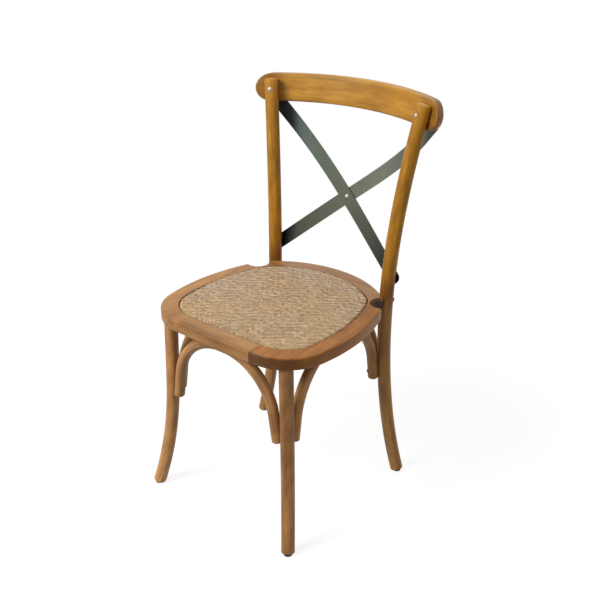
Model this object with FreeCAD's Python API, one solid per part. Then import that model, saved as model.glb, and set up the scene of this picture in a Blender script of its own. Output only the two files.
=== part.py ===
import FreeCAD, Part
import math
import os

# Cross back dining chair, in millimetres.
# The origin is on the floor under the middle of the chair. +Z is up, the sitter faces -Y,
# and the sitter's left hand is on +X. Left and right in the names are the sitter's.

V = FreeCAD.Vector

# Overall heights and the round section of the legs
SEAT_TOP = 450.0
SEAT_THICKNESS = 26.0
BACK_LEG_TOP = 868.0
BACK_FOOT_RADIUS = 14.6
BACK_SEAT_RADIUS = 15.6
BACK_TOP_RADIUS = 15.4
BACK_TOP_ROUNDING = 5.0
FRONT_FOOT_RADIUS = 14.4
FRONT_TOP_RADIUS = 14.9

# Foot glides
GLIDE_HEIGHT = 3.0
GLIDE_RADIUS = 9.5
GLIDE_PIN_RADIUS = 1.5
GLIDE_PIN_LENGTH = 14.0
FOOT_ROUNDING = 3.0

# Line of the back legs: a narrow waist under the seat, spreading up to the crest rail
# and out to the foot
WAIST_HEIGHT = 425.0
WAIST_HALF_WIDTH = 161.0
TOP_SPREAD = 42.5
TOP_SPREAD_POWER = 1.77
BACK_FOOT_SPREAD = 51.0
BACK_FOOT_POWER = 2.6
BACK_LINE_Y = 132.0
RAKE_START = 330.0
RAKE_REACH = 44.7
RAKE_POWER = 1.9
BACK_FOOT_REACH = 5.6

# Line of the front legs: a slight straight splay, then a sweep below the knee
FRONT_TOP_X = 161.3
FRONT_TOP_Y = -211.7
FRONT_SPLAY_X = 0.0277
FRONT_SPLAY_Y = 0.0188
FRONT_KNEE = 300.0
FRONT_SWEEP_X = 23.5
FRONT_SWEEP_Y = 32.3
FRONT_SWEEP_POWER = 2.37
TENON_RADIUS = 10.0
TENON_HEIGHT = 17.0

# Outline of the seat frame, seen from above: four arcs with rounded corners
HALF_WIDTH = 220.5
SIDE_ARC_RADIUS = 430.0
SIDE_ARC_Y = -84.0
REAR_EDGE_Y = 178.0
REAR_ARC_RADIUS = 250.0
FRONT_EDGE_Y = -251.0
FRONT_ARC_RADIUS = 2600.0
FRONT_CORNER_RADIUS = 104.0
REAR_CORNER_RADIUS = 60.0
TOP_EDGE_ROUNDING = 4.0
BOTTOM_EDGE_ROUNDING = 2.5

# Section of the seat frame, measured in from its outer edge
REBATE_INSET = 35.0
REBATE_DEPTH = 14.0
REBATE_FRONT_CORNER = 80.0
REBATE_REAR_CORNER = 50.0
RAIL_WIDTH = 75.0
OPENING_FRONT_CORNER = 37.0
OPENING_REAR_CORNER = 12.0

# Joints of the seat frame: the front rail ends square between the side rails, and each
# rear corner is mitred at 45 degrees through one point
FRONT_JOINT_X = 97.0
REAR_MITRE = (178.0, 99.0)
RAIL_REACH = 420.0
DOWEL_RADIUS = 3.5
DOWEL_LENGTH = 36.0
FRONT_DOWEL_PLACES = (18.0, 56.0)
REAR_DOWEL_PLACES = (48.0, 70.0)

# Scoop in each rear corner, in front of the back leg, and the ear that carries the leg
SCOOP_X = 179.0
SCOOP_Y = 92.0
SCOOP_RADIUS = 27.0
EAR_X = 146.0
EAR_Y = 116.0
EAR_RADIUS = 13.5

# Seat board and the woven panel over it
PANEL_GAP = 1.5
BOARD_THICKNESS = 9.0
WEAVE_EDGE_PROUD = 1.5
WEAVE_CROWN = 5.0
WEAVE_EDGE_ROUNDING = 3.0

# Bentwood braces
ROD_RADIUS = 11.8
BRACE_END_HEIGHT = 242.0
BRACE_FLAT = 12.0
BRACE_LEAN = 9.0
BRACE_HOUSING = 0.5
BRACE_END_ROUNDING = 3.5
FRONT_BRACE_BEARING = 187.0
REAR_BRACE_BEARING = 172.0
SIDE_BRACE_FRONT_BEARING = 94.0
SIDE_BRACE_REAR_BEARING = 226.0

# Crest rail: a bent board with round ends, leaning back with the legs
CREST_FRONT_RADIUS = 409.8
CREST_THICKNESS = 20.5
CREST_BOTTOM = 815.0
CREST_HEIGHT = 61.6
CREST_HALF_LENGTH = 243.0
CREST_ARCH = 3.0
CREST_LEAN = 8.2
CREST_HOUSING = 2.5
CREST_ROUNDING = 4.5

# Steel straps of the cross
STRAP_WIDTH = 31.0
STRAP_THICKNESS = 2.5
STRAP_END_ROUNDING = 13.0
STRAP_LOW_RISE = 38.5
STRAP_LOW_INSET = 18.5
STRAP_HIGH_INSET = 15.0
CROSS_HEIGHT = 625.0
CROSS_Y = 199.5
STRAP_SHOULDER_X = 158.0
STRAP_SHOULDER_Y = 217.0
STRAP_SHOULDER_HEIGHT = 762.0
STRAP_HIGH_X = 213.0
STRAP_HIGH_RISE = 8.0
STRAP_LOW_LEAN = 0.06
STRAP_CROSS_LEAN = 0.30
STRAP_HIGH_LEAN = 0.144
STRAP_STATIONS = 12
STRAP_SEATING = 0.4
STRAP_PLAY = 0.25

# Screws, bolts and the rivet
SCREW_RADIUS = 2.0
SCREW_HEAD_RADIUS = 4.6
SCREW_HEAD_HEIGHT = 2.2
SCREW_PLAY = 0.1
CREST_SCREW_RISE = 32.0
CREST_SCREW_HEAD_RADIUS = 5.6
CREST_SCREW_DEPTH = 14.0
BRACE_SCREW_INSET = 18.0
BRACE_SCREW_DEPTH = 14.0
BRACE_TOP_SCREW_DEPTH = 10.0
BOARD_SCREW_X = 62.0
BOARD_SCREW_FRONT_Y = -192.0
BOARD_SCREW_REAR_Y = 110.0
BOARD_SCREW_DEPTH = 6.0
STRAP_SCREW_DEPTH = 14.0
BOLT_RADIUS = 3.0
BOLT_HEAD_RADIUS = 6.5
BOLT_HEAD_HEIGHT = 3.0
BOLT_DEPTH = 30.0
RIVET_RADIUS = 3.0
RIVET_HEAD_RADIUS = 6.2
RIVET_HEAD_HEIGHT = 3.0

# Heights that follow from the sizes above
SEAT_BOTTOM = SEAT_TOP - SEAT_THICKNESS
REBATE_FLOOR = SEAT_TOP - REBATE_DEPTH
BOARD_TOP = REBATE_FLOOR + BOARD_THICKNESS
BRACE_SCREW_HEIGHT = BRACE_END_HEIGHT + BRACE_SCREW_INSET
STRAP_LOW_HEIGHT = SEAT_TOP + STRAP_LOW_RISE
STRAP_HIGH_HEIGHT = CREST_BOTTOM + STRAP_HIGH_RISE
CREST_SCREW_HEIGHT = CREST_BOTTOM + CREST_SCREW_RISE

# How the curves are drawn, and lengths that only have to reach past the chair
LEG_STATIONS = 13
LEG_OVERRUN = 14.0
TANGENT_STEP = 1.0
LEVEL_TOLERANCE = 0.01
TALL = 1200.0
DIAGONAL = math.sqrt(0.5)


def rise(height, start, end, power):
    """Share from 0 at start to 1 at end, growing as a power, and 0 before start."""
    share = (height - start) / (end - start)
    return max(share, 0.0) ** power


def back_leg_centre(height, side=1):
    """Centre of a back leg at a height above the floor."""
    up = rise(height, WAIST_HEIGHT, BACK_LEG_TOP, TOP_SPREAD_POWER)
    down = rise(height, WAIST_HEIGHT, 0.0, BACK_FOOT_POWER)
    x = WAIST_HALF_WIDTH + TOP_SPREAD * up + BACK_FOOT_SPREAD * down
    y = BACK_LINE_Y + RAKE_REACH * rise(height, RAKE_START, BACK_LEG_TOP, RAKE_POWER)
    y += BACK_FOOT_REACH * rise(height, RAKE_START, 0.0, RAKE_POWER)
    return V(side * x, y, height)


def back_leg_radius(height):
    """Radius of a back leg: thickest at the seat."""
    if height < SEAT_TOP:
        return BACK_FOOT_RADIUS + (BACK_SEAT_RADIUS - BACK_FOOT_RADIUS) * height / SEAT_TOP
    share = (height - SEAT_TOP) / (BACK_LEG_TOP - SEAT_TOP)
    return BACK_SEAT_RADIUS + (BACK_TOP_RADIUS - BACK_SEAT_RADIUS) * share


def front_leg_centre(height, side=1):
    """Centre of a front leg at a height above the floor."""
    drop = SEAT_BOTTOM - height
    sweep = rise(height, FRONT_KNEE, 0.0, FRONT_SWEEP_POWER)
    x = FRONT_TOP_X + FRONT_SPLAY_X * drop + FRONT_SWEEP_X * sweep
    y = FRONT_TOP_Y - FRONT_SPLAY_Y * drop - FRONT_SWEEP_Y * sweep
    return V(side * x, y, height)


def front_leg_radius(height):
    """Radius of a front leg: a straight taper to the foot."""
    return FRONT_FOOT_RADIUS + (FRONT_TOP_RADIUS - FRONT_FOOT_RADIUS) * height / SEAT_BOTTOM


def circle_wire(centre, direction, radius):
    """A round wire square to a direction."""
    return Part.Wire(Part.Circle(centre, direction, radius).toShape())


def round_along(centre_at, radius_at, low, high, side):
    """Loft circles that stand square to a leg's line."""
    rings = []
    for index in range(LEG_STATIONS):
        height = low + (high - low) * index / (LEG_STATIONS - 1)
        ahead = centre_at(height + TANGENT_STEP, side)
        behind = centre_at(height - TANGENT_STEP, side)
        rings.append(circle_wire(centre_at(height, side), ahead - behind, radius_at(height)))
    return Part.makeLoft(rings, True, False)


def slab(low, high):
    """A wide block between two heights."""
    return Part.makeBox(TALL, TALL, high - low, V(-TALL / 2, -TALL / 2, low))


def end_edges(shape, height):
    """Closed edges that lie at one height."""
    found = []
    for edge in shape.Edges:
        box = edge.BoundBox
        if max(abs(box.ZMin - height), abs(box.ZMax - height)) < LEVEL_TOLERANCE:
            found.append(edge)
    return found


def round_top(leg):
    """Round over the rim at the top of a back leg."""
    rim = [edge for edge in leg.Edges if edge.BoundBox.ZMin > BACK_LEG_TOP - BACK_TOP_RADIUS]
    return leg.makeFillet(BACK_TOP_ROUNDING, rim)


def stand_on_glide(leg):
    """Cut the foot level above its glide and round its rim."""
    leg = leg.cut(slab(-TALL / 2, GLIDE_HEIGHT))
    return leg.makeFillet(FOOT_ROUNDING, end_edges(leg, GLIDE_HEIGHT))


def glide_axis(centre_at, side):
    """Middle of a foot at the floor."""
    foot = centre_at(GLIDE_HEIGHT, side)
    return V(foot.x, foot.y, 0)


def glide(centre_at, side, play=0.0):
    """A nail-on glide: a low disc with its pin."""
    base = glide_axis(centre_at, side)
    disc = Part.makeCylinder(GLIDE_RADIUS, GLIDE_HEIGHT, base)
    pin = Part.makeCylinder(GLIDE_PIN_RADIUS + play, GLIDE_HEIGHT + GLIDE_PIN_LENGTH + play, base)
    return disc.fuse(pin)


def dome(seat, way, radius, height):
    """A low round cap with a flat underside."""
    ball = (radius ** 2 + height ** 2) / (2 * height)
    latitude = math.degrees(math.asin((ball - height) / ball))
    return Part.makeSphere(ball, seat + way * (height - ball), way, latitude, 90, 360)


def screw(tip, way, shank_radius, head_radius, head_height, length, play=0.0):
    """A round-head fastener: its tip, the way its head faces and its length under the head."""
    way = V(way).normalize()
    shank = Part.makeCylinder(shank_radius + play, length + play, tip - way * play, way)
    seat = tip + way * length
    if play:
        return shank.fuse(Part.makeCylinder(head_radius + play, head_height + play, seat, way))
    return shank.fuse(dome(seat, way, head_radius, head_height))


def on_other_side(point):
    """The same point on the other side of the chair."""
    return V(-point.x, point.y, point.z)


def corner_centre(first, first_radius, second, second_radius, radius, way):
    """Centre of a round corner inside two circles, the one farthest in a given way."""
    apart = second - first
    distance = apart.Length
    apart.normalize()
    reach = first_radius - radius
    along = (reach ** 2 - (second_radius - radius) ** 2 + distance ** 2) / (2 * distance)
    off = math.sqrt(reach ** 2 - along ** 2)
    base = first + apart * along
    aside = V(-apart.y, apart.x, 0) * off
    return max(base + aside, base - aside, key=way.dot)


def towards(start, target, distance):
    """The point at a distance from a start towards a target."""
    return start + (target - start).normalize() * distance


def arc_about(centre, start, end):
    """The short arc about a centre between two points."""
    radius = (start - centre).Length
    middle = towards(centre, (start + end) / 2, radius)
    return Part.Arc(start, middle, end).toShape()


def outline_plate(inset, front_corner_radius, rear_corner_radius, low, high):
    """A plate with the seat's outline drawn in by an inset, with its own corner radii."""
    side = V(HALF_WIDTH - SIDE_ARC_RADIUS, SIDE_ARC_Y, low)
    rear = V(0, REAR_EDGE_Y - REAR_ARC_RADIUS, low)
    front = V(0, FRONT_EDGE_Y + FRONT_ARC_RADIUS, low)
    side_radius = SIDE_ARC_RADIUS - inset
    rear_radius = REAR_ARC_RADIUS - inset
    front_radius = FRONT_ARC_RADIUS - inset
    front_corner = corner_centre(side, side_radius, front, front_radius,
                                 front_corner_radius, V(1, -1, 0))
    rear_corner = corner_centre(side, side_radius, rear, rear_radius,
                                rear_corner_radius, V(1, 1, 0))
    points = [towards(front, front_corner, front_radius), towards(side, front_corner, side_radius),
              towards(side, rear_corner, side_radius), towards(rear, rear_corner, rear_radius)]
    centres = [front_corner, side, rear_corner]
    edges = [arc_about(front, on_other_side(points[0]), points[0]),
             arc_about(rear, points[3], on_other_side(points[3]))]
    for index, centre in enumerate(centres):
        start, end = points[index], points[index + 1]
        edges.append(arc_about(centre, start, end))
        edges.append(arc_about(on_other_side(centre), on_other_side(start), on_other_side(end)))
    wire = Part.Wire(Part.__sortEdges__(edges))
    return Part.Face(wire).extrude(V(0, 0, high - low))


def upright(x, y, radius):
    """A tall round cutter."""
    return Part.makeCylinder(radius, TALL, V(x, y, 0))


def seat_ring():
    """The whole seat frame before it is cut at its mitres."""
    ring = outline_plate(0.0, FRONT_CORNER_RADIUS, REAR_CORNER_RADIUS, SEAT_BOTTOM, SEAT_TOP)
    ring = ring.makeFillet(TOP_EDGE_ROUNDING, end_edges(ring, SEAT_TOP))
    ring = ring.makeFillet(BOTTOM_EDGE_ROUNDING, end_edges(ring, SEAT_BOTTOM))
    for side in (-1, 1):
        ear = Part.makeCylinder(EAR_RADIUS, SEAT_THICKNESS, V(side * EAR_X, EAR_Y, SEAT_BOTTOM))
        ear = ear.makeFillet(BOTTOM_EDGE_ROUNDING, end_edges(ear, SEAT_BOTTOM))
        ear = ear.makeFillet(TOP_EDGE_ROUNDING, end_edges(ear, SEAT_TOP))
        ring = ring.fuse(ear)
        ring = ring.cut(upright(side * SCOOP_X, SCOOP_Y, SCOOP_RADIUS))
    ring = ring.cut(outline_plate(REBATE_INSET, REBATE_FRONT_CORNER, REBATE_REAR_CORNER,
                                  REBATE_FLOOR, SEAT_TOP + REBATE_DEPTH))
    return ring.cut(outline_plate(RAIL_WIDTH, OPENING_FRONT_CORNER, OPENING_REAR_CORNER,
                                  SEAT_BOTTOM - REBATE_DEPTH, SEAT_TOP))


def rail(ring, corners):
    """The part of the ring inside a polygon seen from above."""
    points = [V(x, y, 0) for x, y in corners]
    face = Part.Face(Part.makePolygon(points + points[:1]))
    return ring.common(face.extrude(V(0, 0, TALL)))


def seat_rails(ring):
    """Front, rear, left and right rails of the seat frame."""
    x = FRONT_JOINT_X
    y = REAR_MITRE[1] - REAR_MITRE[0] + x
    far = RAIL_REACH
    front = [(-x, y), (x, y), (x, y - far), (-x, y - far)]
    rear = [(-x, y), (x, y), (x + far, y + far), (-x - far, y + far)]
    left = [(x, y), (x, y - far), (x + far, y - far), (x + far, y + far)]
    right = [(-px, py) for px, py in left]
    return rail(ring, front), rail(ring, rear), rail(ring, left), rail(ring, right)


def dowel(x, y, way, play):
    """One dowel half in each rail, in the ledge under the seat board."""
    length = DOWEL_LENGTH + 2 * play
    middle = V(x, y, (SEAT_BOTTOM + REBATE_FLOOR) / 2)
    return Part.makeCylinder(DOWEL_RADIUS + play, length, middle - way * (length / 2), way)


def dowels(play=0.0):
    """Pairs of dowels across the two front joints and the two rear mitres."""
    found = []
    for side in (-1, 1):
        for place in FRONT_DOWEL_PLACES:
            found.append(dowel(side * FRONT_JOINT_X, FRONT_EDGE_Y + place, V(1, 0, 0), play))
        for place in REAR_DOWEL_PLACES:
            x = REAR_MITRE[0] - place * DIAGONAL
            y = REAR_MITRE[1] - place * DIAGONAL
            found.append(dowel(side * x, y, V(side * DIAGONAL, -DIAGONAL, 0), play))
    return found


def panel_plate(low, high):
    """A plate that fills the rebate of the frame, less the gap round it."""
    return outline_plate(REBATE_INSET + PANEL_GAP, REBATE_FRONT_CORNER - PANEL_GAP,
                         REBATE_REAR_CORNER - PANEL_GAP, low, high)


def seat_board():
    """Plywood board that lies on the ledge of the frame."""
    return panel_plate(REBATE_FLOOR, BOARD_TOP)


def woven_panel():
    """Woven panel over the board: an even edge with a low crown."""
    edge_top = SEAT_TOP + WEAVE_EDGE_PROUD
    blank = panel_plate(BOARD_TOP, edge_top + WEAVE_CROWN)
    reach = HALF_WIDTH - REBATE_INSET
    crown_radius = (reach ** 2 + WEAVE_CROWN ** 2) / (2 * WEAVE_CROWN)
    middle = (FRONT_EDGE_Y + REAR_EDGE_Y) / 2
    centre = V(0, middle, edge_top + WEAVE_CROWN - crown_radius)
    panel = blank.common(Part.makeSphere(crown_radius, centre))
    rim = [edge for edge in panel.Edges if edge.BoundBox.ZMin > BOARD_TOP + LEVEL_TOLERANCE]
    return panel.makeFillet(WEAVE_EDGE_ROUNDING, rim)


def bearing_vector(degrees):
    """A level direction, measured from +X towards +Y."""
    return V(math.cos(math.radians(degrees)), math.sin(math.radians(degrees)), 0)


def brace_foot(centre_at, radius_at, bearing):
    """Where a brace bears on a leg on +X, at the height of its screw."""
    reach = radius_at(BRACE_SCREW_HEIGHT) + ROD_RADIUS - BRACE_HOUSING
    return centre_at(BRACE_SCREW_HEIGHT) + bearing_vector(bearing) * reach


def brace_bend(half):
    """Length of the straight leg above the screw and radius of the bend of a brace.

    Both follow from the height and the half width that the leaning leg and the bend span.
    """
    lean = math.radians(BRACE_LEAN)
    height = SEAT_BOTTOM - ROD_RADIUS + BRACE_HOUSING - BRACE_SCREW_HEIGHT
    width = half - BRACE_FLAT / 2
    share = 1 - math.sin(lean)
    straight = height * math.cos(lean) / share - width
    radius = (width * math.cos(lean) - height * math.sin(lean)) / share
    return straight, radius


def brace(start, end):
    """A round rod bent into a hoop between two feet, its flat top under the seat frame."""
    along = end - start
    half = along.Length / 2
    along.normalize()
    middle = (start + end) / 2
    lean = math.radians(BRACE_LEAN)
    straight, radius = brace_bend(half)
    below = (BRACE_SCREW_INSET + 2 * ROD_RADIUS) / math.cos(lean)
    top = SEAT_BOTTOM - ROD_RADIUS + BRACE_HOUSING

    def at(distance, height):
        return V(middle.x + along.x * distance, middle.y + along.y * distance, height)

    def leg_at(side, length):
        return at(side * (half - length * math.sin(lean)),
                  BRACE_SCREW_HEIGHT + length * math.cos(lean))

    def bend_at(side, turn):
        return at(side * (BRACE_FLAT / 2 + radius * math.cos(turn)),
                  top - radius + radius * math.sin(turn))

    quarter = math.pi / 2
    halfway = (lean + quarter) / 2
    path = Part.Wire([
        Part.LineSegment(leg_at(-1, -below), leg_at(-1, straight)).toShape(),
        Part.Arc(leg_at(-1, straight), bend_at(-1, halfway), bend_at(-1, quarter)).toShape(),
        Part.LineSegment(bend_at(-1, quarter), bend_at(1, quarter)).toShape(),
        Part.Arc(bend_at(1, quarter), bend_at(1, halfway), leg_at(1, straight)).toShape(),
        Part.LineSegment(leg_at(1, straight), leg_at(1, -below)).toShape(),
    ])
    ring = circle_wire(leg_at(-1, -below), leg_at(-1, straight) - leg_at(-1, -below), ROD_RADIUS)
    rod = path.makePipeShell([ring], True, False)
    rod = rod.cut(slab(-TALL / 2, BRACE_END_HEIGHT))
    rod = rod.makeFillet(BRACE_END_ROUNDING, end_edges(rod, BRACE_END_HEIGHT))
    return rod.cut(slab(SEAT_BOTTOM, TALL))


def mirrored(shape):
    """The same piece on the other side of the chair."""
    return shape.mirror(V(0, 0, 0), V(1, 0, 0))


def brace_feet():
    """Feet of the four braces, each as a start and an end with the legs they bear on."""
    front = brace_foot(front_leg_centre, front_leg_radius, FRONT_BRACE_BEARING)
    rear = brace_foot(back_leg_centre, back_leg_radius, REAR_BRACE_BEARING)
    side_front = brace_foot(front_leg_centre, front_leg_radius, SIDE_BRACE_FRONT_BEARING)
    side_rear = brace_foot(back_leg_centre, back_leg_radius, SIDE_BRACE_REAR_BEARING)
    return front, rear, side_front, side_rear


def brace_leg_screw(foot, centre_at, side, play=0.0):
    """A screw through a brace into its leg, near the foot of the brace."""
    leg = centre_at(BRACE_SCREW_HEIGHT, side)
    through = V(side * foot.x, foot.y, foot.z)
    way = (through - leg).normalize()
    length = BRACE_SCREW_DEPTH + 2 * ROD_RADIUS
    tip = through + way * (ROD_RADIUS - length)
    return screw(tip, way, SCREW_RADIUS, SCREW_HEAD_RADIUS, SCREW_HEAD_HEIGHT, length, play)


def brace_leg_screws(play=0.0):
    """The eight screws that hold the feet of the braces."""
    front, rear, side_front, side_rear = brace_feet()
    found = []
    for side in (-1, 1):
        found.append(brace_leg_screw(front, front_leg_centre, side, play))
        found.append(brace_leg_screw(rear, back_leg_centre, side, play))
        found.append(brace_leg_screw(side_front, front_leg_centre, side, play))
        found.append(brace_leg_screw(side_rear, back_leg_centre, side, play))
    return found


def brace_top_screws(play=0.0):
    """One screw up through the top of each brace into the seat frame."""
    front, rear, side_front, side_rear = brace_feet()
    side_middle = (side_front + side_rear) / 2
    places = [(0.0, front.y), (0.0, rear.y)]
    places += [(side * side_middle.x, side_middle.y) for side in (-1, 1)]
    length = 2 * ROD_RADIUS - BRACE_HOUSING + BRACE_TOP_SCREW_DEPTH
    found = []
    for x, y in places:
        tip = V(x, y, SEAT_BOTTOM + BRACE_TOP_SCREW_DEPTH)
        found.append(screw(tip, V(0, 0, -1), SCREW_RADIUS, SCREW_HEAD_RADIUS,
                           SCREW_HEAD_HEIGHT, length, play))
    return found


def board_screws(play=0.0):
    """Screws up through the ledge into the seat board."""
    length = REBATE_FLOOR - SEAT_BOTTOM + BOARD_SCREW_DEPTH
    found = []
    for side in (-1, 1):
        for y in (BOARD_SCREW_FRONT_Y, BOARD_SCREW_REAR_Y):
            tip = V(side * BOARD_SCREW_X, y, REBATE_FLOOR + BOARD_SCREW_DEPTH)
            found.append(screw(tip, V(0, 0, -1), SCREW_RADIUS, SCREW_HEAD_RADIUS,
                               SCREW_HEAD_HEIGHT, length, play))
    return found


def crest_arc_centre(height):
    """Centre of the crest rail's front arc at a height: the legs are let in by the housing."""
    middle = CREST_BOTTOM + CREST_HEIGHT / 2
    leg = back_leg_centre(middle)
    reach = CREST_FRONT_RADIUS - back_leg_radius(middle) + CREST_HOUSING
    y = leg.y - math.sqrt(reach ** 2 - leg.x ** 2)
    return V(0, y + (height - middle) * math.tan(math.radians(CREST_LEAN)), height)


def crest_blank():
    """The bent board of the crest rail, leaning back, longer than the finished rail."""
    base = crest_arc_centre(CREST_BOTTOM)
    outer = CREST_FRONT_RADIUS + CREST_THICKNESS
    reach = CREST_HALF_LENGTH + 2 * CREST_THICKNESS

    def on_arc(radius, x):
        return V(x, base.y + math.sqrt(radius ** 2 - x ** 2), CREST_BOTTOM)

    face = Part.Face(Part.Wire([
        Part.Arc(on_arc(CREST_FRONT_RADIUS, -reach), on_arc(CREST_FRONT_RADIUS, 0),
                 on_arc(CREST_FRONT_RADIUS, reach)).toShape(),
        Part.LineSegment(on_arc(CREST_FRONT_RADIUS, reach), on_arc(outer, reach)).toShape(),
        Part.Arc(on_arc(outer, reach), on_arc(outer, 0), on_arc(outer, -reach)).toShape(),
        Part.LineSegment(on_arc(outer, -reach), on_arc(CREST_FRONT_RADIUS, -reach)).toShape(),
    ]))
    lean = math.tan(math.radians(CREST_LEAN))
    height = CREST_HEIGHT + CREST_ARCH
    return face.extrude(V(0, lean * height, height))


def crest_outline():
    """The crest rail's front view: gently arched edges between two half-round ends."""
    end = CREST_HEIGHT / 2
    straight = CREST_HALF_LENGTH - end
    low = CREST_BOTTOM
    high = CREST_BOTTOM + CREST_HEIGHT
    middle = (low + high) / 2
    face = Part.Face(Part.Wire([
        Part.Arc(V(-straight, 0, low), V(0, 0, low + CREST_ARCH), V(straight, 0, low)).toShape(),
        Part.Arc(V(straight, 0, low), V(CREST_HALF_LENGTH, 0, middle),
                 V(straight, 0, high)).toShape(),
        Part.Arc(V(straight, 0, high), V(0, 0, high + CREST_ARCH), V(-straight, 0, high)).toShape(),
        Part.Arc(V(-straight, 0, high), V(-CREST_HALF_LENGTH, 0, middle),
                 V(-straight, 0, low)).toShape(),
    ]))
    return face.extrude(V(0, TALL, 0))


def crest_rail():
    """Bent crest rail with every long edge rounded over."""
    board = crest_blank().common(crest_outline())
    long_edges = []
    for edge in board.Edges:
        if edge.BoundBox.XLength + edge.BoundBox.ZLength > CREST_THICKNESS:
            long_edges.append(edge)
    return board.makeFillet(CREST_ROUNDING, long_edges)


def crest_rear_point(x, height):
    """A point on the crest rail's rear face."""
    centre = crest_arc_centre(height)
    radius = CREST_FRONT_RADIUS + CREST_THICKNESS
    return V(x, centre.y + math.sqrt(radius ** 2 - x ** 2), height)


def outward_from_crest(point):
    """Level direction from the crest rail's arc centre through a point."""
    centre = crest_arc_centre(point.z)
    return V(point.x, point.y - centre.y, 0).normalize()


def crest_screws(play=0.0):
    """Screws through the back legs into the crest rail, square to the rail."""
    found = []
    for side in (-1, 1):
        leg = back_leg_centre(CREST_SCREW_HEIGHT, side)
        way = outward_from_crest(leg) * -1
        radius = back_leg_radius(CREST_SCREW_HEIGHT)
        length = 2 * radius - CREST_HOUSING + CREST_SCREW_DEPTH
        tip = leg + way * (radius - length)
        found.append(screw(tip, way, SCREW_RADIUS, CREST_SCREW_HEAD_RADIUS,
                           SCREW_HEAD_HEIGHT, length, play))
    return found


def strap_knots(behind):
    """Points of a strap's middle line, from its low end on +X to its high end on -X."""
    leg = back_leg_centre(STRAP_LOW_HEIGHT)
    half = STRAP_THICKNESS / 2 - STRAP_SEATING
    low = V(leg.x, leg.y + back_leg_radius(STRAP_LOW_HEIGHT) + half, STRAP_LOW_HEIGHT)
    cross = V(0, CROSS_Y + behind, CROSS_HEIGHT)
    shoulder = V(-STRAP_SHOULDER_X, STRAP_SHOULDER_Y, STRAP_SHOULDER_HEIGHT)
    rear = crest_rear_point(-STRAP_HIGH_X, STRAP_HIGH_HEIGHT)
    high = rear + outward_from_crest(rear) * half
    return low, cross, shoulder, high


def strap_curve(behind):
    """Smooth middle line of a strap, run on past both screws."""
    low, cross, shoulder, high = strap_knots(behind)
    first = low + (low - cross).normalize() * STRAP_LOW_INSET
    last = high + (high - shoulder).normalize() * STRAP_HIGH_INSET
    curve = Part.BSplineCurve()
    curve.interpolate([first, low, cross, shoulder, high, last])
    return curve


def strap_facing(height, high_point):
    """Way the front of a strap faces at a height."""
    low_way = V(0, -1, STRAP_LOW_LEAN)
    cross_way = V(0, -1, STRAP_CROSS_LEAN)
    high_way = outward_from_crest(high_point) * -1 + V(0, 0, STRAP_HIGH_LEAN)
    if height < CROSS_HEIGHT:
        share = min(max((height - STRAP_LOW_HEIGHT) / (CROSS_HEIGHT - STRAP_LOW_HEIGHT), 0.0), 1.0)
        return low_way * (1 - share) + cross_way * share
    share = min((height - CROSS_HEIGHT) / (STRAP_HIGH_HEIGHT - CROSS_HEIGHT), 1.0)
    share = share ** 2
    return cross_way * (1 - share) + high_way * share


def strap(behind):
    """A flat steel strap, twisted a little to lie on the leg and on the crest rail."""
    curve = strap_curve(behind)
    high_point = strap_knots(behind)[3]
    sections = []
    for index in range(STRAP_STATIONS + 1):
        share = index / STRAP_STATIONS
        parameter = curve.FirstParameter + (curve.LastParameter - curve.FirstParameter) * share
        centre = curve.value(parameter)
        along = V(curve.tangent(parameter)[0]).normalize()
        across = along.cross(strap_facing(centre.z, high_point)).normalize()
        out = across.cross(along).normalize() * (STRAP_THICKNESS / 2)
        across = across * (STRAP_WIDTH / 2)
        corners = [centre + across + out, centre + across - out,
                   centre - across - out, centre - across + out]
        sections.append(Part.makePolygon(corners + corners[:1]))
    solid = Part.makeLoft(sections, True, False)
    ends = []
    for edge in solid.Edges:
        if edge.Length < 2 * STRAP_THICKNESS:
            ends.append(edge)
    return solid.makeFillet(STRAP_END_ROUNDING, ends)


def cross_way():
    """Way the straps face where they cross."""
    return V(0, -1, STRAP_CROSS_LEAN).normalize()


def rivet(play=0.0):
    """Round-head rivet through both straps where they cross."""
    way = cross_way()
    reach = 2 * STRAP_THICKNESS + STRAP_PLAY
    front = V(0, CROSS_Y, CROSS_HEIGHT) + way * (STRAP_THICKNESS / 2)
    shank = Part.makeCylinder(RIVET_RADIUS + play, reach, front - way * reach, way)
    if play:
        return shank
    body = shank.fuse(dome(front, way, RIVET_HEAD_RADIUS, RIVET_HEAD_HEIGHT))
    return body.fuse(dome(front - way * reach, way * -1, RIVET_HEAD_RADIUS, RIVET_HEAD_HEIGHT))


def strap_low_screws(play=0.0):
    """Screws through the low ends of the straps into the back legs."""
    low = strap_knots(0.0)[0]
    length = STRAP_THICKNESS + STRAP_SCREW_DEPTH
    way = V(0, 1, -STRAP_LOW_LEAN).normalize()
    found = []
    for side in (1, -1):
        seat = V(side * low.x, low.y, low.z) + way * (STRAP_THICKNESS / 2)
        found.append(screw(seat - way * length, way, SCREW_RADIUS, SCREW_HEAD_RADIUS,
                           SCREW_HEAD_HEIGHT, length, play))
    return found


def strap_high_screws(play=0.0):
    """Screws through the high ends of the straps into the crest rail."""
    high = strap_knots(0.0)[3]
    length = STRAP_THICKNESS + STRAP_SCREW_DEPTH
    found = []
    for side in (1, -1):
        point = V(side * high.x, high.y, high.z)
        way = outward_from_crest(point)
        seat = point + way * (STRAP_THICKNESS / 2)
        found.append(screw(seat - way * length, way, SCREW_RADIUS, SCREW_HEAD_RADIUS,
                           SCREW_HEAD_HEIGHT, length, play))
    return found


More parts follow.
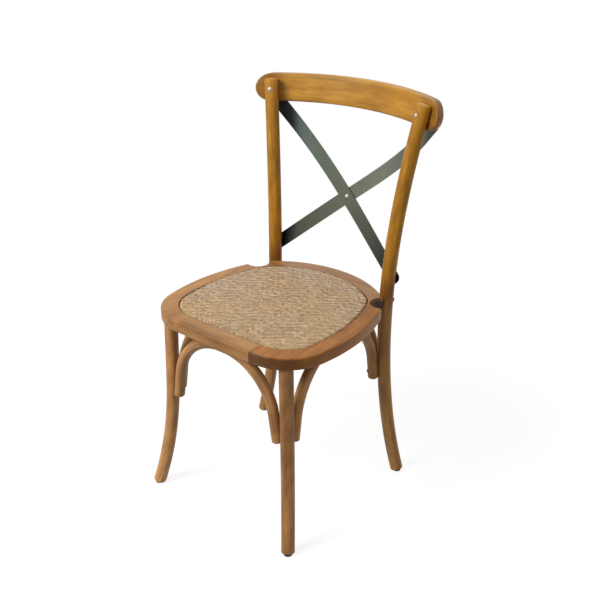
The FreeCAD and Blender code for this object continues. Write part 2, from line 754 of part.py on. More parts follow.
def seat_bolts(play=0.0):
    """Bolts through the back legs into the ears of the seat frame."""
    height = SEAT_BOTTOM + SEAT_THICKNESS / 2
    found = []
    for side in (-1, 1):
        leg = back_leg_centre(height, side)
        way = V(leg.x - side * EAR_X, leg.y - EAR_Y, 0).normalize()
        radius = back_leg_radius(height)
        length = 2 * radius + BOLT_DEPTH
        tip = leg + way * (radius - length)
        found.append(screw(tip, way, BOLT_RADIUS, BOLT_HEAD_RADIUS, BOLT_HEAD_HEIGHT,
                           length, play))
    return found


def cut_all(shape, tools):
    """Cut a list of tools from a shape."""
    for tool in tools:
        shape = shape.cut(tool)
    return shape


def build():
    """All pieces of the chair, by name."""
    crest = crest_rail()
    ring = seat_ring()
    front_strap = strap(0.0)
    rear_strap = mirrored(strap(STRAP_THICKNESS + STRAP_PLAY))
    straps = [front_strap, rear_strap]

    back_legs = {}
    front_legs = {}
    for name, side in (("left", 1), ("right", -1)):
        leg = round_along(back_leg_centre, back_leg_radius, -LEG_OVERRUN, BACK_LEG_TOP, side)
        back_legs[name] = round_top(stand_on_glide(leg))
        leg = round_along(front_leg_centre, front_leg_radius, -LEG_OVERRUN,
                          SEAT_BOTTOM + LEG_OVERRUN, side)
        leg = stand_on_glide(leg.cut(slab(SEAT_BOTTOM, TALL)))
        top = front_leg_centre(SEAT_BOTTOM, side)
        front_legs[name] = leg.fuse(Part.makeCylinder(TENON_RADIUS, TENON_HEIGHT, top))

    ring = cut_all(ring, list(back_legs.values()))
    for side in (-1, 1):
        top = front_leg_centre(SEAT_BOTTOM, side)
        ring = ring.cut(Part.makeCylinder(TENON_RADIUS + SCREW_PLAY, TENON_HEIGHT + SCREW_PLAY, top))

    glide_holes = [glide(centre, side, SCREW_PLAY)
                   for centre in (front_leg_centre, back_leg_centre) for side in (-1, 1)]
    leg_holes = brace_leg_screws(SCREW_PLAY) + glide_holes
    back_holes = leg_holes + crest_screws(SCREW_PLAY) + strap_low_screws(SCREW_PLAY)
    back_holes += seat_bolts(SCREW_PLAY)
    for name in ("left", "right"):
        back_legs[name] = cut_all(back_legs[name], [crest] + straps + back_holes)
        front_legs[name] = cut_all(front_legs[name], leg_holes)
    crest = cut_all(crest, straps + crest_screws(SCREW_PLAY) + strap_high_screws(SCREW_PLAY))

    ring_holes = dowels(SCREW_PLAY) + brace_top_screws(SCREW_PLAY) + board_screws(SCREW_PLAY)
    ring = cut_all(ring, ring_holes + seat_bolts(SCREW_PLAY))
    front_rail, rear_rail, left_rail, right_rail = seat_rails(ring)
    board = cut_all(seat_board(), board_screws(SCREW_PLAY))

    front, rear, side_front, side_rear = brace_feet()
    braces = {
        "front_brace": brace(on_other_side(front), front),
        "rear_brace": brace(on_other_side(rear), rear),
        "left_brace": brace(side_front, side_rear),
        "right_brace": brace(on_other_side(side_front), on_other_side(side_rear)),
    }
    legs = list(back_legs.values()) + list(front_legs.values())
    brace_holes = brace_leg_screws(SCREW_PLAY) + brace_top_screws(SCREW_PLAY)
    for name in braces:
        braces[name] = cut_all(braces[name], legs + brace_holes)

    strap_holes = [rivet(SCREW_PLAY)] + strap_low_screws(SCREW_PLAY) + strap_high_screws(SCREW_PLAY)
    front_strap = cut_all(front_strap, strap_holes)
    rear_strap = cut_all(rear_strap, strap_holes)

    parts = {
        "crest_rail": crest,
        "back_leg_left": back_legs["left"],
        "back_leg_right": back_legs["right"],
        "front_leg_left": front_legs["left"],
        "front_leg_right": front_legs["right"],
        "front_rail": front_rail,
        "rear_rail": rear_rail,
        "left_rail": left_rail,
        "right_rail": right_rail,
        "frame_dowels": Part.makeCompound(dowels()),
        "seat_board": board,
        "woven_panel": woven_panel(),
        "board_screws": Part.makeCompound(board_screws()),
        "brace_leg_screws": Part.makeCompound(brace_leg_screws()),
        "brace_top_screws": Part.makeCompound(brace_top_screws()),
        "seat_bolts": Part.makeCompound(seat_bolts()),
        "cross_strap_front": front_strap,
        "cross_strap_rear": rear_strap,
        "cross_rivet": rivet(),
        "strap_low_screws": Part.makeCompound(strap_low_screws()),
        "strap_high_screws": Part.makeCompound(strap_high_screws()),
        "crest_screws": Part.makeCompound(crest_screws()),
        "foot_glides": Part.makeCompound([glide(centre, side)
                                          for centre in (front_leg_centre, back_leg_centre)
                                          for side in (-1, 1)]),
    }
    parts.update(braces)
    return parts


def main():
    """Write each piece to its own file and print its size."""
    os.makedirs("parts", exist_ok=True)
    whole = FreeCAD.BoundBox()
    for name, shape in sorted(build().items()):
        box = shape.optimalBoundingBox(False, False)
        whole.add(box)
        shape.exportStep("parts/" + name + ".step")
        print(name, len(shape.Solids), "solids", round(shape.Volume), "mm3, valid", shape.isValid())
    print("whole", [round(v, 2) for v in (whole.XMin, whole.XMax, whole.YMin, whole.YMax,
                                          whole.ZMin, whole.ZMax)])


main()
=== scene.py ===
# %% [markdown]
# # A cross back dining chair
# The solid model gives every piece its place. This script dresses it: smooth round bentwood,
# a seat panel woven strand by strand, stained wood with grain that follows every bend, and
# steel straps with a grey-green patina. Sizes of the chair are in millimetres, and places in
# the scene and inside materials are in metres. The floor is at z = 0, the sitter faces -Y
# and the sitter's left hand is on +X.

# %% Load the solid model
import math
import bmesh
import bpy
import numpy as np
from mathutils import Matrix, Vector


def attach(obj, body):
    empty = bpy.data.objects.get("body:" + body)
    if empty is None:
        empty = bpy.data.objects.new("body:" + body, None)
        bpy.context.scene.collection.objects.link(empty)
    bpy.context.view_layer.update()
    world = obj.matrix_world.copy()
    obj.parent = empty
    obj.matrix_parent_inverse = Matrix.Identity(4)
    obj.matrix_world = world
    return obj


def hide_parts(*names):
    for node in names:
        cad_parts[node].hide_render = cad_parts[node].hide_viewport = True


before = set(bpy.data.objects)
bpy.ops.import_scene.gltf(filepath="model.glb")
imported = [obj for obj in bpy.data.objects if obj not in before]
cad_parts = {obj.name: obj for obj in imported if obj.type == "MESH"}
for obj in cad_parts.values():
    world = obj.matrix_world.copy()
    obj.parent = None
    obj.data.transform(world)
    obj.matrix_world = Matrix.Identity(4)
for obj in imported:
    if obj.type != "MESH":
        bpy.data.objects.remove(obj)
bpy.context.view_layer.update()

MM = 0.001

# %% [markdown]
# ## The camera
# A camera set by eye makes the legs lean or the back grow, so this one was fitted to the
# edges of the legs, the seat and the crest rail, for a picture of 600 by 600 pixels. It stands
# in front of the chair on the sitter's left, above the seat, and looks down at the chair's
# middle.

# %% Aim a camera or a lamp
def aimed(name, data, place, way):
    """A camera or a lamp at a place, looking along a way."""
    body = bpy.data.objects.new(name, data)
    body.location = place
    body.rotation_mode = "QUATERNION"
    body.rotation_quaternion = way.to_track_quat("-Z", "Y")
    bpy.context.scene.collection.objects.link(body)
    return body


# %% Place the camera
AZIMUTH = math.radians(39.08)
ELEVATION = math.radians(25.76)
DISTANCE = 1.915
AIM = Vector((0.01543, 0.011, 0.43806))
LENS, SENSOR_WIDTH = 52.05, 36.0

towards_camera = Vector((math.sin(AZIMUTH) * math.cos(ELEVATION),
                         -math.cos(AZIMUTH) * math.cos(ELEVATION), math.sin(ELEVATION)))
camera_data = bpy.data.cameras.new("camera")
camera_data.sensor_width = SENSOR_WIDTH
camera_data.lens = LENS
camera = aimed("camera", camera_data, AIM + towards_camera * DISTANCE, -towards_camera)
bpy.context.scene.camera = camera
print("camera at", [round(v, 3) for v in camera.location])

# %% [markdown]
# ## Numbers inside a material
# Each finish below is a chain of small nodes. They could be wired one by one in the editor,
# but a short function for each kind of node lets a finish read like a recipe.

# %% Name the nodes that work on numbers
def wire(tree, node, inputs):
    """Give each input of a node a fixed value or another node's output."""
    for key, value in inputs.items():
        if isinstance(value, bpy.types.NodeSocket):
            tree.links.new(value, node.inputs[key])
        else:
            node.inputs[key].default_value = value
    return node


def wired(tree, kind, inputs):
    """A new node with its inputs wired."""
    return wire(tree, tree.nodes.new(kind), inputs)


def math_node(tree, operation, *values):
    """One Math node: each value is a number or another node's output."""
    node = tree.nodes.new("ShaderNodeMath")
    node.operation = operation
    return wire(tree, node, dict(enumerate(values))).outputs[0]


def spread(tree, value, low, high):
    """A value between 0 and 1 made a value between low and high."""
    inputs = {"Value": value, "To Min": low, "To Max": high}
    return wired(tree, "ShaderNodeMapRange", inputs).outputs["Result"]


def smooth_step(tree, value, low, high):
    """0 up to low, 1 from high, and a smooth rise between."""
    node = tree.nodes.new("ShaderNodeMapRange")
    node.interpolation_type = "SMOOTHSTEP"
    inputs = {"Value": value, "From Min": low, "From Max": high}
    return wire(tree, node, inputs).outputs["Result"]


def far_from(tree, value, low, high):
    """0 where a value's size is under low, and 1 where it is over high."""
    return smooth_step(tree, math_node(tree, "ABSOLUTE", value), low, high)


def length_of(tree, x, y):
    """The square root of x squared plus y squared."""
    squares = math_node(tree, "ADD", math_node(tree, "MULTIPLY", x, x),
                        math_node(tree, "MULTIPLY", y, y))
    return math_node(tree, "SQRT", squares)


# %% Name the nodes that work on places
def plain_place(tree):
    """The object's own coordinates. As a place for grain, it runs along X."""
    return tree.nodes.new("ShaderNodeTexCoord").outputs["Object"]


def axes(tree, vector):
    """The three numbers of a vector, found by the names X, Y and Z."""
    return wired(tree, "ShaderNodeSeparateXYZ", {0: vector}).outputs


def vector_from(tree, *numbers):
    """A vector from three numbers."""
    return wired(tree, "ShaderNodeCombineXYZ", dict(enumerate(numbers))).outputs[0]


# %% [markdown]
# ## Light and floor
# A picture of a real studio could light the chair, but its windows would show in the lacquer,
# so three soft square lamps and an even surround do it. The floor and the surround show white
# to the camera and to glossy surfaces, but light the chair only softly, so that its colours
# come out about as they are written.

# %% Make the surround
SURROUND = 0.42


def seen_directly(tree):
    """1 where a ray comes from the camera, a reflection or a clear body, and 0 elsewhere."""
    path = tree.nodes.new("ShaderNodeLightPath").outputs
    seen = math_node(tree, "MAXIMUM", path["Is Camera Ray"], path["Is Glossy Ray"])
    return math_node(tree, "MAXIMUM", seen, path["Is Transmission Ray"])


def surround(strength):
    """White to the camera and in reflections, and an even soft light on everything else."""
    world = bpy.data.worlds.new("studio")
    world.use_nodes = True
    tree = world.node_tree
    strength = spread(tree, seen_directly(tree), strength, 1.0)
    wire(tree, tree.nodes["Background"], {"Color": (1, 1, 1, 1), "Strength": strength})
    bpy.context.scene.world = world


surround(SURROUND)
bpy.context.scene.view_settings.view_transform = "Standard"
print("surround lights the chair at", SURROUND)

# %% Make the floor
FLOOR_HALF = 12.0
FLOOR_GREY, FLOOR_GLOW = 0.30, 0.80
FADE_START, FADE_END = 0.5, 1.6


def new_material(name):
    """A material with its node tree and its shader."""
    material = bpy.data.materials.new(name)
    material.use_nodes = True
    return material, material.node_tree, material.node_tree.nodes["Principled BSDF"]


def floor_finish():
    """A matt floor with a white glow near the chair, where it takes the shadow. It fades with
    the distance from the chair into the pure white of the surround."""
    material, tree = new_material("white_floor")[:2]
    tree.nodes.clear()
    seen = seen_directly(tree)
    grey = (FLOOR_GREY, FLOOR_GREY, FLOOR_GREY, 1)
    matt = wired(tree, "ShaderNodeBsdfDiffuse", {"Color": grey}).outputs[0]
    dim = math_node(tree, "MULTIPLY", seen, FLOOR_GLOW)
    glow = wired(tree, "ShaderNodeEmission", {"Strength": dim}).outputs[0]
    near = wired(tree, "ShaderNodeAddShader", {0: matt, 1: glow}).outputs[0]
    far = wired(tree, "ShaderNodeEmission", {"Strength": seen}).outputs[0]
    away = tree.nodes.new("ShaderNodeVectorMath")
    away.operation = "LENGTH"
    wire(tree, away, {0: plain_place(tree)})
    fade = smooth_step(tree, away.outputs["Value"], FADE_START, FADE_END)
    both = wired(tree, "ShaderNodeMixShader", {0: fade, 1: near, 2: far}).outputs[0]
    wired(tree, "ShaderNodeOutputMaterial", {"Surface": both})
    return material


def floor_sheet(half):
    """A flat square sheet at z = 0."""
    mesh = bpy.data.meshes.new("floor")
    corners = [(-half, -half, 0), (half, -half, 0), (half, half, 0), (-half, half, 0)]
    mesh.from_pydata(corners, [], [(0, 1, 2, 3)])
    mesh.materials.append(floor_finish())
    sheet = bpy.data.objects.new("floor", mesh)
    bpy.context.scene.collection.objects.link(sheet)
    return sheet


floor = floor_sheet(FLOOR_HALF)
print("floor", 2 * FLOOR_HALF, "m wide, white from", FADE_END, "m")

# %% Hang the lamps
CHAIR_MIDDLE = Vector((0, 0, 0.45))
# Name, metres to the right, towards the camera and up, the lamp's side in metres, and watts
LAMPS = (("key", -2.1, 1.0, 1.7, 1.2, 62.0),
         ("fill", 1.9, 0.2, 1.2, 1.6, 6.0),
         ("back", 0.3, -2.0, 1.8, 1.6, 9.0))


def lamp(name, aside, forward, up, size, energy):
    """A square soft lamp aimed at the chair's middle. Its place is counted from there, as the
    camera sees it: to the right, towards the camera and up."""
    right = Vector((math.cos(AZIMUTH), math.sin(AZIMUTH), 0))
    near = Vector((math.sin(AZIMUTH), -math.cos(AZIMUTH), 0))
    data = bpy.data.lights.new(name, "AREA")
    data.shape = "SQUARE"
    data.size = size
    data.energy = energy
    place = CHAIR_MIDDLE + right * aside + near * forward + Vector((0, 0, up))
    aimed(name, data, place, CHAIR_MIDDLE - place)


for settings in LAMPS:
    lamp(*settings)
    print("lamp", settings[0], settings[-1], "W")

# %% [markdown]
# ## A small kit for surfaces
# A rod or a strand could be a curve with a bevel. A grid of points worked out with numpy is
# used instead, because it keeps what a bevel loses: the exact rounding of the ends, and each
# point's place in the straight stock before it was bent, which the grain needs. Points that
# lie on each other, along a seam or at a pole, are merged so that the surface closes.

# %% Turn points into a piece
SAME_POINT = 1e-6


def new_piece(name, points, faces, before_bending, material, merge=True):
    """A smooth piece from points and faces, facing outwards. before_bending holds, for each
    point, its place in the straight stock: along, and across twice, in metres."""
    mesh = bpy.data.meshes.new(name)
    mesh.from_pydata(points.reshape(-1, 3).tolist(), [], faces)
    stock = mesh.attributes.new("stock", "FLOAT_VECTOR", "POINT")
    stock.data.foreach_set("vector", before_bending.astype(np.float32).reshape(-1))
    shell = bmesh.new()
    shell.from_mesh(mesh)
    if merge:
        bmesh.ops.remove_doubles(shell, verts=shell.verts, dist=SAME_POINT)
    bmesh.ops.recalc_face_normals(shell, faces=shell.faces)
    shell.to_mesh(mesh)
    shell.free()
    mesh.polygons.foreach_set("use_smooth", np.ones(len(mesh.polygons), dtype=bool))
    mesh.materials.append(material)
    piece = bpy.data.objects.new(name, mesh)
    bpy.context.scene.collection.objects.link(piece)
    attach(piece, "root")
    print(name, len(mesh.polygons), "faces")
    return piece


def grid_piece(name, points, before_bending, material):
    """A piece from points of shape (rows, columns, 3): each cell of the grid is one face."""
    rows, columns = points.shape[:2]
    index = np.arange(rows * columns).reshape(rows, columns)
    faces = np.stack([index[:-1, :-1], index[1:, :-1], index[1:, 1:], index[:-1, 1:]], axis=-1)
    return new_piece(name, points, faces.reshape(-1, 4).tolist(), before_bending, material)


# %% [markdown]
# ## Stained wood
# The real finish is a honey-brown stain under a satin lacquer. Its grain runs along each
# member: long fine fibres, wider soft bands where the board was cut across the rings, streaks,
# cloudy patches and short dark pores. A photograph of wood would smear on the bends, so each
# pattern is a noise stretched along the member. On the legs and braces it reads the place in
# the straight stock, so it bends with the wood, on the crest rail the angle round the bend,
# and on the seat's sawn rails the object's own coordinates.

# %% Mix colours
def paint(red, green, blue):
    """A colour given in ordinary 0 to 255 values, made linear for the shader."""
    values = np.array([red, green, blue]) / 255
    linear = np.where(values <= 0.04045, values / 12.92, ((values + 0.055) / 1.055) ** 2.4)
    return (*linear.tolist(), 1.0)


def noise(tree, vector, scale, detail, roughness):
    """A noise pattern's value at a vector."""
    inputs = {"Vector": vector, "Scale": scale, "Detail": detail, "Roughness": roughness}
    return wired(tree, "ShaderNodeTexNoise", inputs).outputs["Fac"]


def stretched(tree, vector, along, across, shift=(0, 0, 0)):
    """The vector with its first axis scaled by one number and the others by another."""
    inputs = {"Vector": vector, "Location": shift, "Scale": (along, across, across)}
    return wired(tree, "ShaderNodeMapping", inputs).outputs["Vector"]


def ramp(tree, value, stops):
    """A colour ramp through stops of (position, colour)."""
    node = wired(tree, "ShaderNodeValToRGB", {"Fac": value})
    band = node.color_ramp
    while len(band.elements) < len(stops):
        band.elements.new(0.5)
    for element, (position, colour) in zip(band.elements, stops):
        element.position = position
        element.color = (*colour[:3], 1)
    return node.outputs["Color"]


def mixed(tree, kind, share, first, second):
    """Two colours mixed in a given way."""
    node = tree.nodes.new("ShaderNodeMix")
    node.data_type = "RGBA"
    node.blend_type = kind
    return wire(tree, node, {"Factor": share, "A": first, "B": second}).outputs["Result"]


def tinted(tree, tone, share, tint):
    """A tone multiplied by a fixed tint, by a share."""
    return mixed(tree, "MULTIPLY", share, tone, (*tint, 1))


def shaded(tree, tone, share, pattern, stops):
    """A tone multiplied by a tint that follows a pattern through its stops, by a share."""
    return mixed(tree, "MULTIPLY", share, tone, ramp(tree, pattern, stops))


# %% Give a finish relief
def relief(tree, shader, height, strength, distance):
    """A relief too shallow to model, which only catches the light."""
    inputs = {"Height": height, "Strength": strength, "Distance": distance}
    bump = wired(tree, "ShaderNodeBump", inputs)
    wire(tree, shader, {"Normal": bump.outputs["Normal"]})


# %% Where the grain runs
def stock_place(tree):
    """The place in the straight stock, kept on each point of a bent piece."""
    node = tree.nodes.new("ShaderNodeAttribute")
    node.attribute_name = "stock"
    return node.outputs["Vector"]


def arc_place(centre_y, radius):
    """For a board bent round an upright axis at x = 0: the angle times the radius, the way
    out from the arc, and the height."""
    def place(tree):
        at = axes(tree, plain_place(tree))
        y = math_node(tree, "SUBTRACT", at["Y"], centre_y)
        turn = math_node(tree, "ARCTAN2", at["X"], y)
        out = math_node(tree, "SUBTRACT", length_of(tree, at["X"], y), radius)
        return vector_from(tree, math_node(tree, "MULTIPLY", turn, radius), out, at["Z"])
    return place


def sideways_place(tree):
    """The object's own coordinates with Y first, for wood whose grain runs along Y."""
    at = axes(tree, plain_place(tree))
    return vector_from(tree, at["Y"], at["X"], at["Z"])


# %% Where the stain gathers and the shade is painted
# The scoops behind the side rails: their upright axes, the radius within which their walls get
# painted shade, and the heights where that shade fades out.
SCOOP_X, SCOOP_Y = 0.179, 0.092
SCOOP_WALL, SCOOP_WALL_END = 0.0274, 0.0286
SCOOP_DARK, SCOOP_CLEAR = 0.438, 0.449


def end_grain(tree):
    """How much end grain shows: 0 along the fibres and 1 across them. The attribute is the
    size of the surface normal's part along the grain."""
    node = tree.nodes.new("ShaderNodeAttribute")
    node.attribute_name = "end_grain"
    return smooth_step(tree, node.outputs["Fac"], 0.30, 0.85)


def scoop_shade(tree):
    """Painted shade: 1 low on the walls of the two scoops behind the seat frame's side rails,
    where the back legs stand in shade: everything within the scoop's radius of its upright
    axis, fading out towards the frame's top. Both scoops are found at once from the size of x."""
    at = axes(tree, plain_place(tree))
    x = math_node(tree, "SUBTRACT", math_node(tree, "ABSOLUTE", at["X"]), SCOOP_X)
    y = math_node(tree, "SUBTRACT", at["Y"], SCOOP_Y)
    outside = smooth_step(tree, length_of(tree, x, y), SCOOP_WALL, SCOOP_WALL_END)
    high = smooth_step(tree, at["Z"], SCOOP_DARK, SCOOP_CLEAR)
    return math_node(tree, "MULTIPLY", math_node(tree, "SUBTRACT", 1.0, outside),
                     math_node(tree, "SUBTRACT", 1.0, high))


# %% The patterns of the grain
# Each pattern: its scale along and across the grain, its detail and its roughness
GRAIN = {"bands": (1.6, 26, 3.0, 0.55), "fibres": (9, 420, 3.0, 0.60),
         "pores": (45, 1100, 1.0, 0.50), "streaks": (3.5, 90, 4.0, 0.65),
         "patches": (13, 34, 3.0, 0.60)}
# Where the bands turn from the dark stain to the light one
BAND_DARK, BAND_LIGHT = 0.30, 0.68
# How the other patterns shade the wood: a tint up to one value and another from the next
PATCH_STOPS = ((0.36, (0.62, 0.58, 0.52)), (0.60, (1.10, 1.10, 1.08)))
SHADES = (("fibres", 0.75, (0.30, (0.72, 0.70, 0.68)), (0.62, (1.08, 1.08, 1.08))),
          ("streaks", 0.55, (0.38, (0.66, 0.60, 0.55)), (0.56, (1.0, 1.0, 1.0))),
          ("pores", 0.45, (0.30, (0.55, 0.48, 0.42)), (0.40, (1.0, 1.0, 1.0))))
SEAT_SHADE_LENGTH = 0.065
SEAT_SHADE_TINT = (0.50, 0.42, 0.36)
END_GRAIN_AND_SHADE_TINT = (0.42, 0.38, 0.36)
SCOOP_SHADE_TINT = (0.20, 0.15, 0.12)
BOARD_END_TINT = (0.66, 0.60, 0.62)
PAINTED_SHADE_BLACK = (0.10, 0.08, 0.06)


def grain_patterns(tree, here, shift):
    """The five noises. Each reads its own stretch of an endless board, and the shift moves
    every piece to another stretch."""
    return {kind: noise(tree, stretched(tree, here, along, across, (shift, row, 0)), 1.0,
                        detail, rough)
            for row, (kind, (along, across, detail, rough)) in enumerate(GRAIN.items())}


def two_stains(tree, tone, bands, along, light, dark, start, end):
    """A second stain that takes over along the grain between two places, with a band of painted
    shade round the second of them, where the back legs pass the seat frame."""
    second = ramp(tree, bands, ((BAND_DARK, dark), (BAND_LIGHT, light)))
    tone = mixed(tree, "MIX", smooth_step(tree, along, start, end), tone, second)
    # Painted shade in a band round the end place, where the back legs pass the seat frame.
    beside = far_from(tree, math_node(tree, "SUBTRACT", along, end), 0.0, SEAT_SHADE_LENGTH)
    return tinted(tree, tone, math_node(tree, "SUBTRACT", 1.0, beside), SEAT_SHADE_TINT)


# %% Stained wood
# The lacquer is duller than a piece's roughness over dark fibres and glossier over light ones
DULLER, GLOSSIER = 0.10, 0.08
LACQUER = {"Specular IOR Level": 0.28, "Coat Weight": 0.05, "Coat Roughness": 0.30}


def stained_wood(name, light, dark, place, shift=0.0, roughness=0.46, end_stain_and_shade=0.0,
                 above=None, ends=None, mottle=0.55, dark_over=None):
    """Wood between a light and a dark stain, with grain along the first axis of place. Where
    the stain gathers, it darkens the end grain, partly as painted shade, and painted shade
    darkens the walls of the scoops. above gives a second light and dark stain and the two
    places along the grain between which it takes over, with painted shade round the second.
    ends gives the two places between which the wood darkens towards its ends. mottle is the
    strength of the cloudy patches, and over the height dark_over the wood gets near-black
    painted shade."""
    material, tree, shader = new_material(name)
    here = place(tree)
    along = axes(tree, here)["X"]
    patterns = grain_patterns(tree, here, shift)
    tone = ramp(tree, patterns["bands"], ((BAND_DARK, dark), (BAND_LIGHT, light)))
    if above:
        tone = two_stains(tree, tone, patterns["bands"], along, *above)
    tone = shaded(tree, tone, mottle, patterns["patches"], PATCH_STOPS)
    for kind, strength, *stops in SHADES:
        tone = shaded(tree, tone, strength, patterns[kind], stops)
    if end_stain_and_shade:
        # The end grain darkens with stain, and with painted shade whose strength is set rail by
        # rail.
        end_stain_and_shade_share = math_node(tree, "MULTIPLY", end_grain(tree), end_stain_and_shade)
        tone = tinted(tree, tone, end_stain_and_shade_share, END_GRAIN_AND_SHADE_TINT)
        # Painted shade, nearly black, low on the scoop walls.
        tone = tinted(tree, tone, scoop_shade(tree), SCOOP_SHADE_TINT)
    if ends:
        tone = tinted(tree, tone, far_from(tree, along, *ends), BOARD_END_TINT)
    # Painted shade, near black, over a given height: on the board's top, which shows only in the
    # groove round the woven panel.
    if dark_over:
        height = axes(tree, plain_place(tree))["Z"]
        over = smooth_step(tree, height, dark_over - MM, dark_over)
        tone = tinted(tree, tone, over, PAINTED_SHADE_BLACK)
    fibres = patterns["fibres"]
    rough = spread(tree, fibres, roughness + DULLER, roughness - GLOSSIER)
    wire(tree, shader, {"Base Color": tone, "Roughness": rough, **LACQUER})
    relief(tree, shader, fibres, 0.25, 0.0004)
    return material


# %% Stain the legs and braces
HONEY, HONEY_DARK = paint(212, 152, 42), paint(162, 104, 16)
BROWN, BROWN_DARK = paint(202, 148, 92), paint(158, 108, 58)
HONEY_START, HONEY_FULL = 0.43, 0.46

# Above the seat the back legs take a honey stain, and painted shade darkens a band where they pass
# the seat frame.
wood_back_leg = stained_wood("wood_back_leg", paint(200, 150, 88), paint(158, 110, 56),
                             stock_place, 0.0, mottle=0.8,
                             above=(HONEY, HONEY_DARK, HONEY_START, HONEY_FULL))
wood_front_legs = {
    "left": stained_wood("wood_left_leg", BROWN, BROWN_DARK, stock_place, 4.0, mottle=1.0),
    "right": stained_wood("wood_right_leg", paint(218, 162, 104), paint(176, 124, 70),
                          stock_place, 5.5, mottle=0.8)}
wood_brace = stained_wood("wood_brace", paint(208, 155, 99), paint(164, 115, 65), stock_place,
                          8.0, mottle=0.9)
print("made", wood_back_leg.name, "and", wood_brace.name)

# %% [markdown]
# ## The legs
# Each back leg is one long round rod: straight at the seat, swept out and back above it and
# out again towards the foot. The front legs are shorter, taper towards the foot and sweep
# forward and out below the knee. They could be lofted by hand between a few circles, but a
# circle carried along the centre line, square to it, stays truly round all the way. The
# centre lines are the same power curves that the solid model uses.

# %% Carry a circle along a line
ROUND = np.linspace(0, 2 * math.pi, 49)
SETTLED = 3


def round_member(name, line, radius, across, material, lowest):
    """A round rod. line is (n, 3) points of the centre line, radius (n,) the rod's radius at
    each, and across a direction that stays square to the line as nearly as can be. Each ring
    is centre + radius (cos a, sin a). The discs that close the ends take the direction of the
    line a few rings in, and no point goes under the lowest height."""
    way = np.gradient(line, axis=0)
    way[0], way[-1] = way[SETTLED], way[-1 - SETTLED]
    way /= np.linalg.norm(way, axis=1, keepdims=True)
    first = across - way * (way @ across)[:, None]
    first /= np.linalg.norm(first, axis=1, keepdims=True)
    second = np.cross(way, first)
    circle_a = radius[:, None] * np.cos(ROUND)[None]
    circle_b = radius[:, None] * np.sin(ROUND)[None]
    points = (line[:, None] + circle_a[..., None] * first[:, None]
              + circle_b[..., None] * second[:, None])
    points[..., 2] = np.maximum(points[..., 2], lowest)
    steps = np.linalg.norm(np.diff(line, axis=0), axis=1)
    length = np.concatenate([[0], np.cumsum(steps)])
    before = np.stack([np.broadcast_to(length[:, None], circle_a.shape), circle_a, circle_b], -1)
    return grid_piece(name, points, before, material)


# %% Centre lines of the legs
SEAT_TOP, SEAT_UNDERSIDE = 450.0, 424.0
BACK_LEG_TOP = 868.0
WAIST, RAKE, KNEE = 425.0, 330.0, 300.0
BACK_LEG_X, BACK_LEG_Y = 161.0, 132.0
# Each sweep: how far it reaches, the heights where it starts and ends, and its power
BACK_OUT = ((42.5, WAIST, BACK_LEG_TOP, 1.77), (51.0, WAIST, 0, 2.6))
BACK_BEHIND = ((44.7, RAKE, BACK_LEG_TOP, 1.9), (5.6, RAKE, 0, 1.9))
BACK_RADII = ((0, SEAT_TOP, BACK_LEG_TOP), (14.6, 15.6, 15.4))
FRONT_LEG_X, FRONT_LEG_Y = 161.3, -211.7
FRONT_SPLAY_X, FRONT_SPLAY_Y = 0.0277, -0.0188
FRONT_OUT = ((23.5, KNEE, 0, 2.37),)
FRONT_FORWARD = ((-32.3, KNEE, 0, 2.37),)
FRONT_RADII = ((0, SEAT_UNDERSIDE), (14.4, 14.9))


def swept(height, sweeps):
    """The sum of the sweeps at a height: each is 0 up to its start, its full reach at its
    end, and grows as a power of the share of the way between."""
    return sum(reach * np.clip((height - start) / (end - start), 0, None) ** power
               for reach, start, end, power in sweeps)


def back_leg_line(height):
    """Centre of the left back leg, in mm, at heights above the floor."""
    return np.stack([BACK_LEG_X + swept(height, BACK_OUT),
                     BACK_LEG_Y + swept(height, BACK_BEHIND), height], -1)


def back_leg_radius(height):
    """Radius of a back leg, thickest at the seat."""
    return np.interp(height, *BACK_RADII)


def front_leg_line(height):
    """Centre of the left front leg, in mm, at heights above the floor: a straight splay from
    the seat down, and the sweep below the knee."""
    drop = SEAT_UNDERSIDE - height
    return np.stack([FRONT_LEG_X + FRONT_SPLAY_X * drop + swept(height, FRONT_OUT),
                     FRONT_LEG_Y + FRONT_SPLAY_Y * drop + swept(height, FRONT_FORWARD),
                     height], -1)


def front_leg_radius(height):
    """Radius of a front leg, tapering to the foot."""
    return np.interp(height, *FRONT_RADII)


print("a front leg's foot at", front_leg_line(np.array(0.0)).round(1), "mm")

# %% Make the legs
GLIDE = 3.0
FOOT_ROUNDING, BACK_TOP_ROUNDING, FRONT_TOP_ROUNDING = 3.0, 5.0, 0.5
RIM_RINGS, LEG_RINGS = 6, 90


def rounded_rim(rounding):
    """Distances from an end at which the rings of its rounded rim stand, and how far each is
    drawn in: a quarter round, so that distance and inset lie on one circle."""
    distance = np.sort(rounding * (1 - np.sin(np.linspace(0, math.pi / 2, RIM_RINGS))))
    drawn = rounding - np.sqrt(np.clip(rounding ** 2 - (rounding - distance) ** 2, 0, None))
    return distance, drawn


def leg(name, line_at, radius_at, top, side, top_rounding, material):
    """A leg from its glide to its top, with a rounded rim at both ends."""
    foot, foot_drawn = rounded_rim(FOOT_ROUNDING)
    head, head_drawn = rounded_rim(top_rounding)
    low, high = GLIDE + foot, (top - head)[::-1]
    body = np.linspace(low[-1], high[0], LEG_RINGS)[1:-1]
    height = np.concatenate([[GLIDE], low, body, high, [top]])
    drawn = np.concatenate([[0], foot_drawn, np.zeros(len(body)), head_drawn[::-1], [0]])
    radius = radius_at(height) - drawn
    radius[0] = radius[-1] = 0
    line = line_at(height) * np.array([side, 1, 1]) * MM
    return round_member(name, line, radius * MM, np.array([1.0, 0, 0]), material, GLIDE * MM)


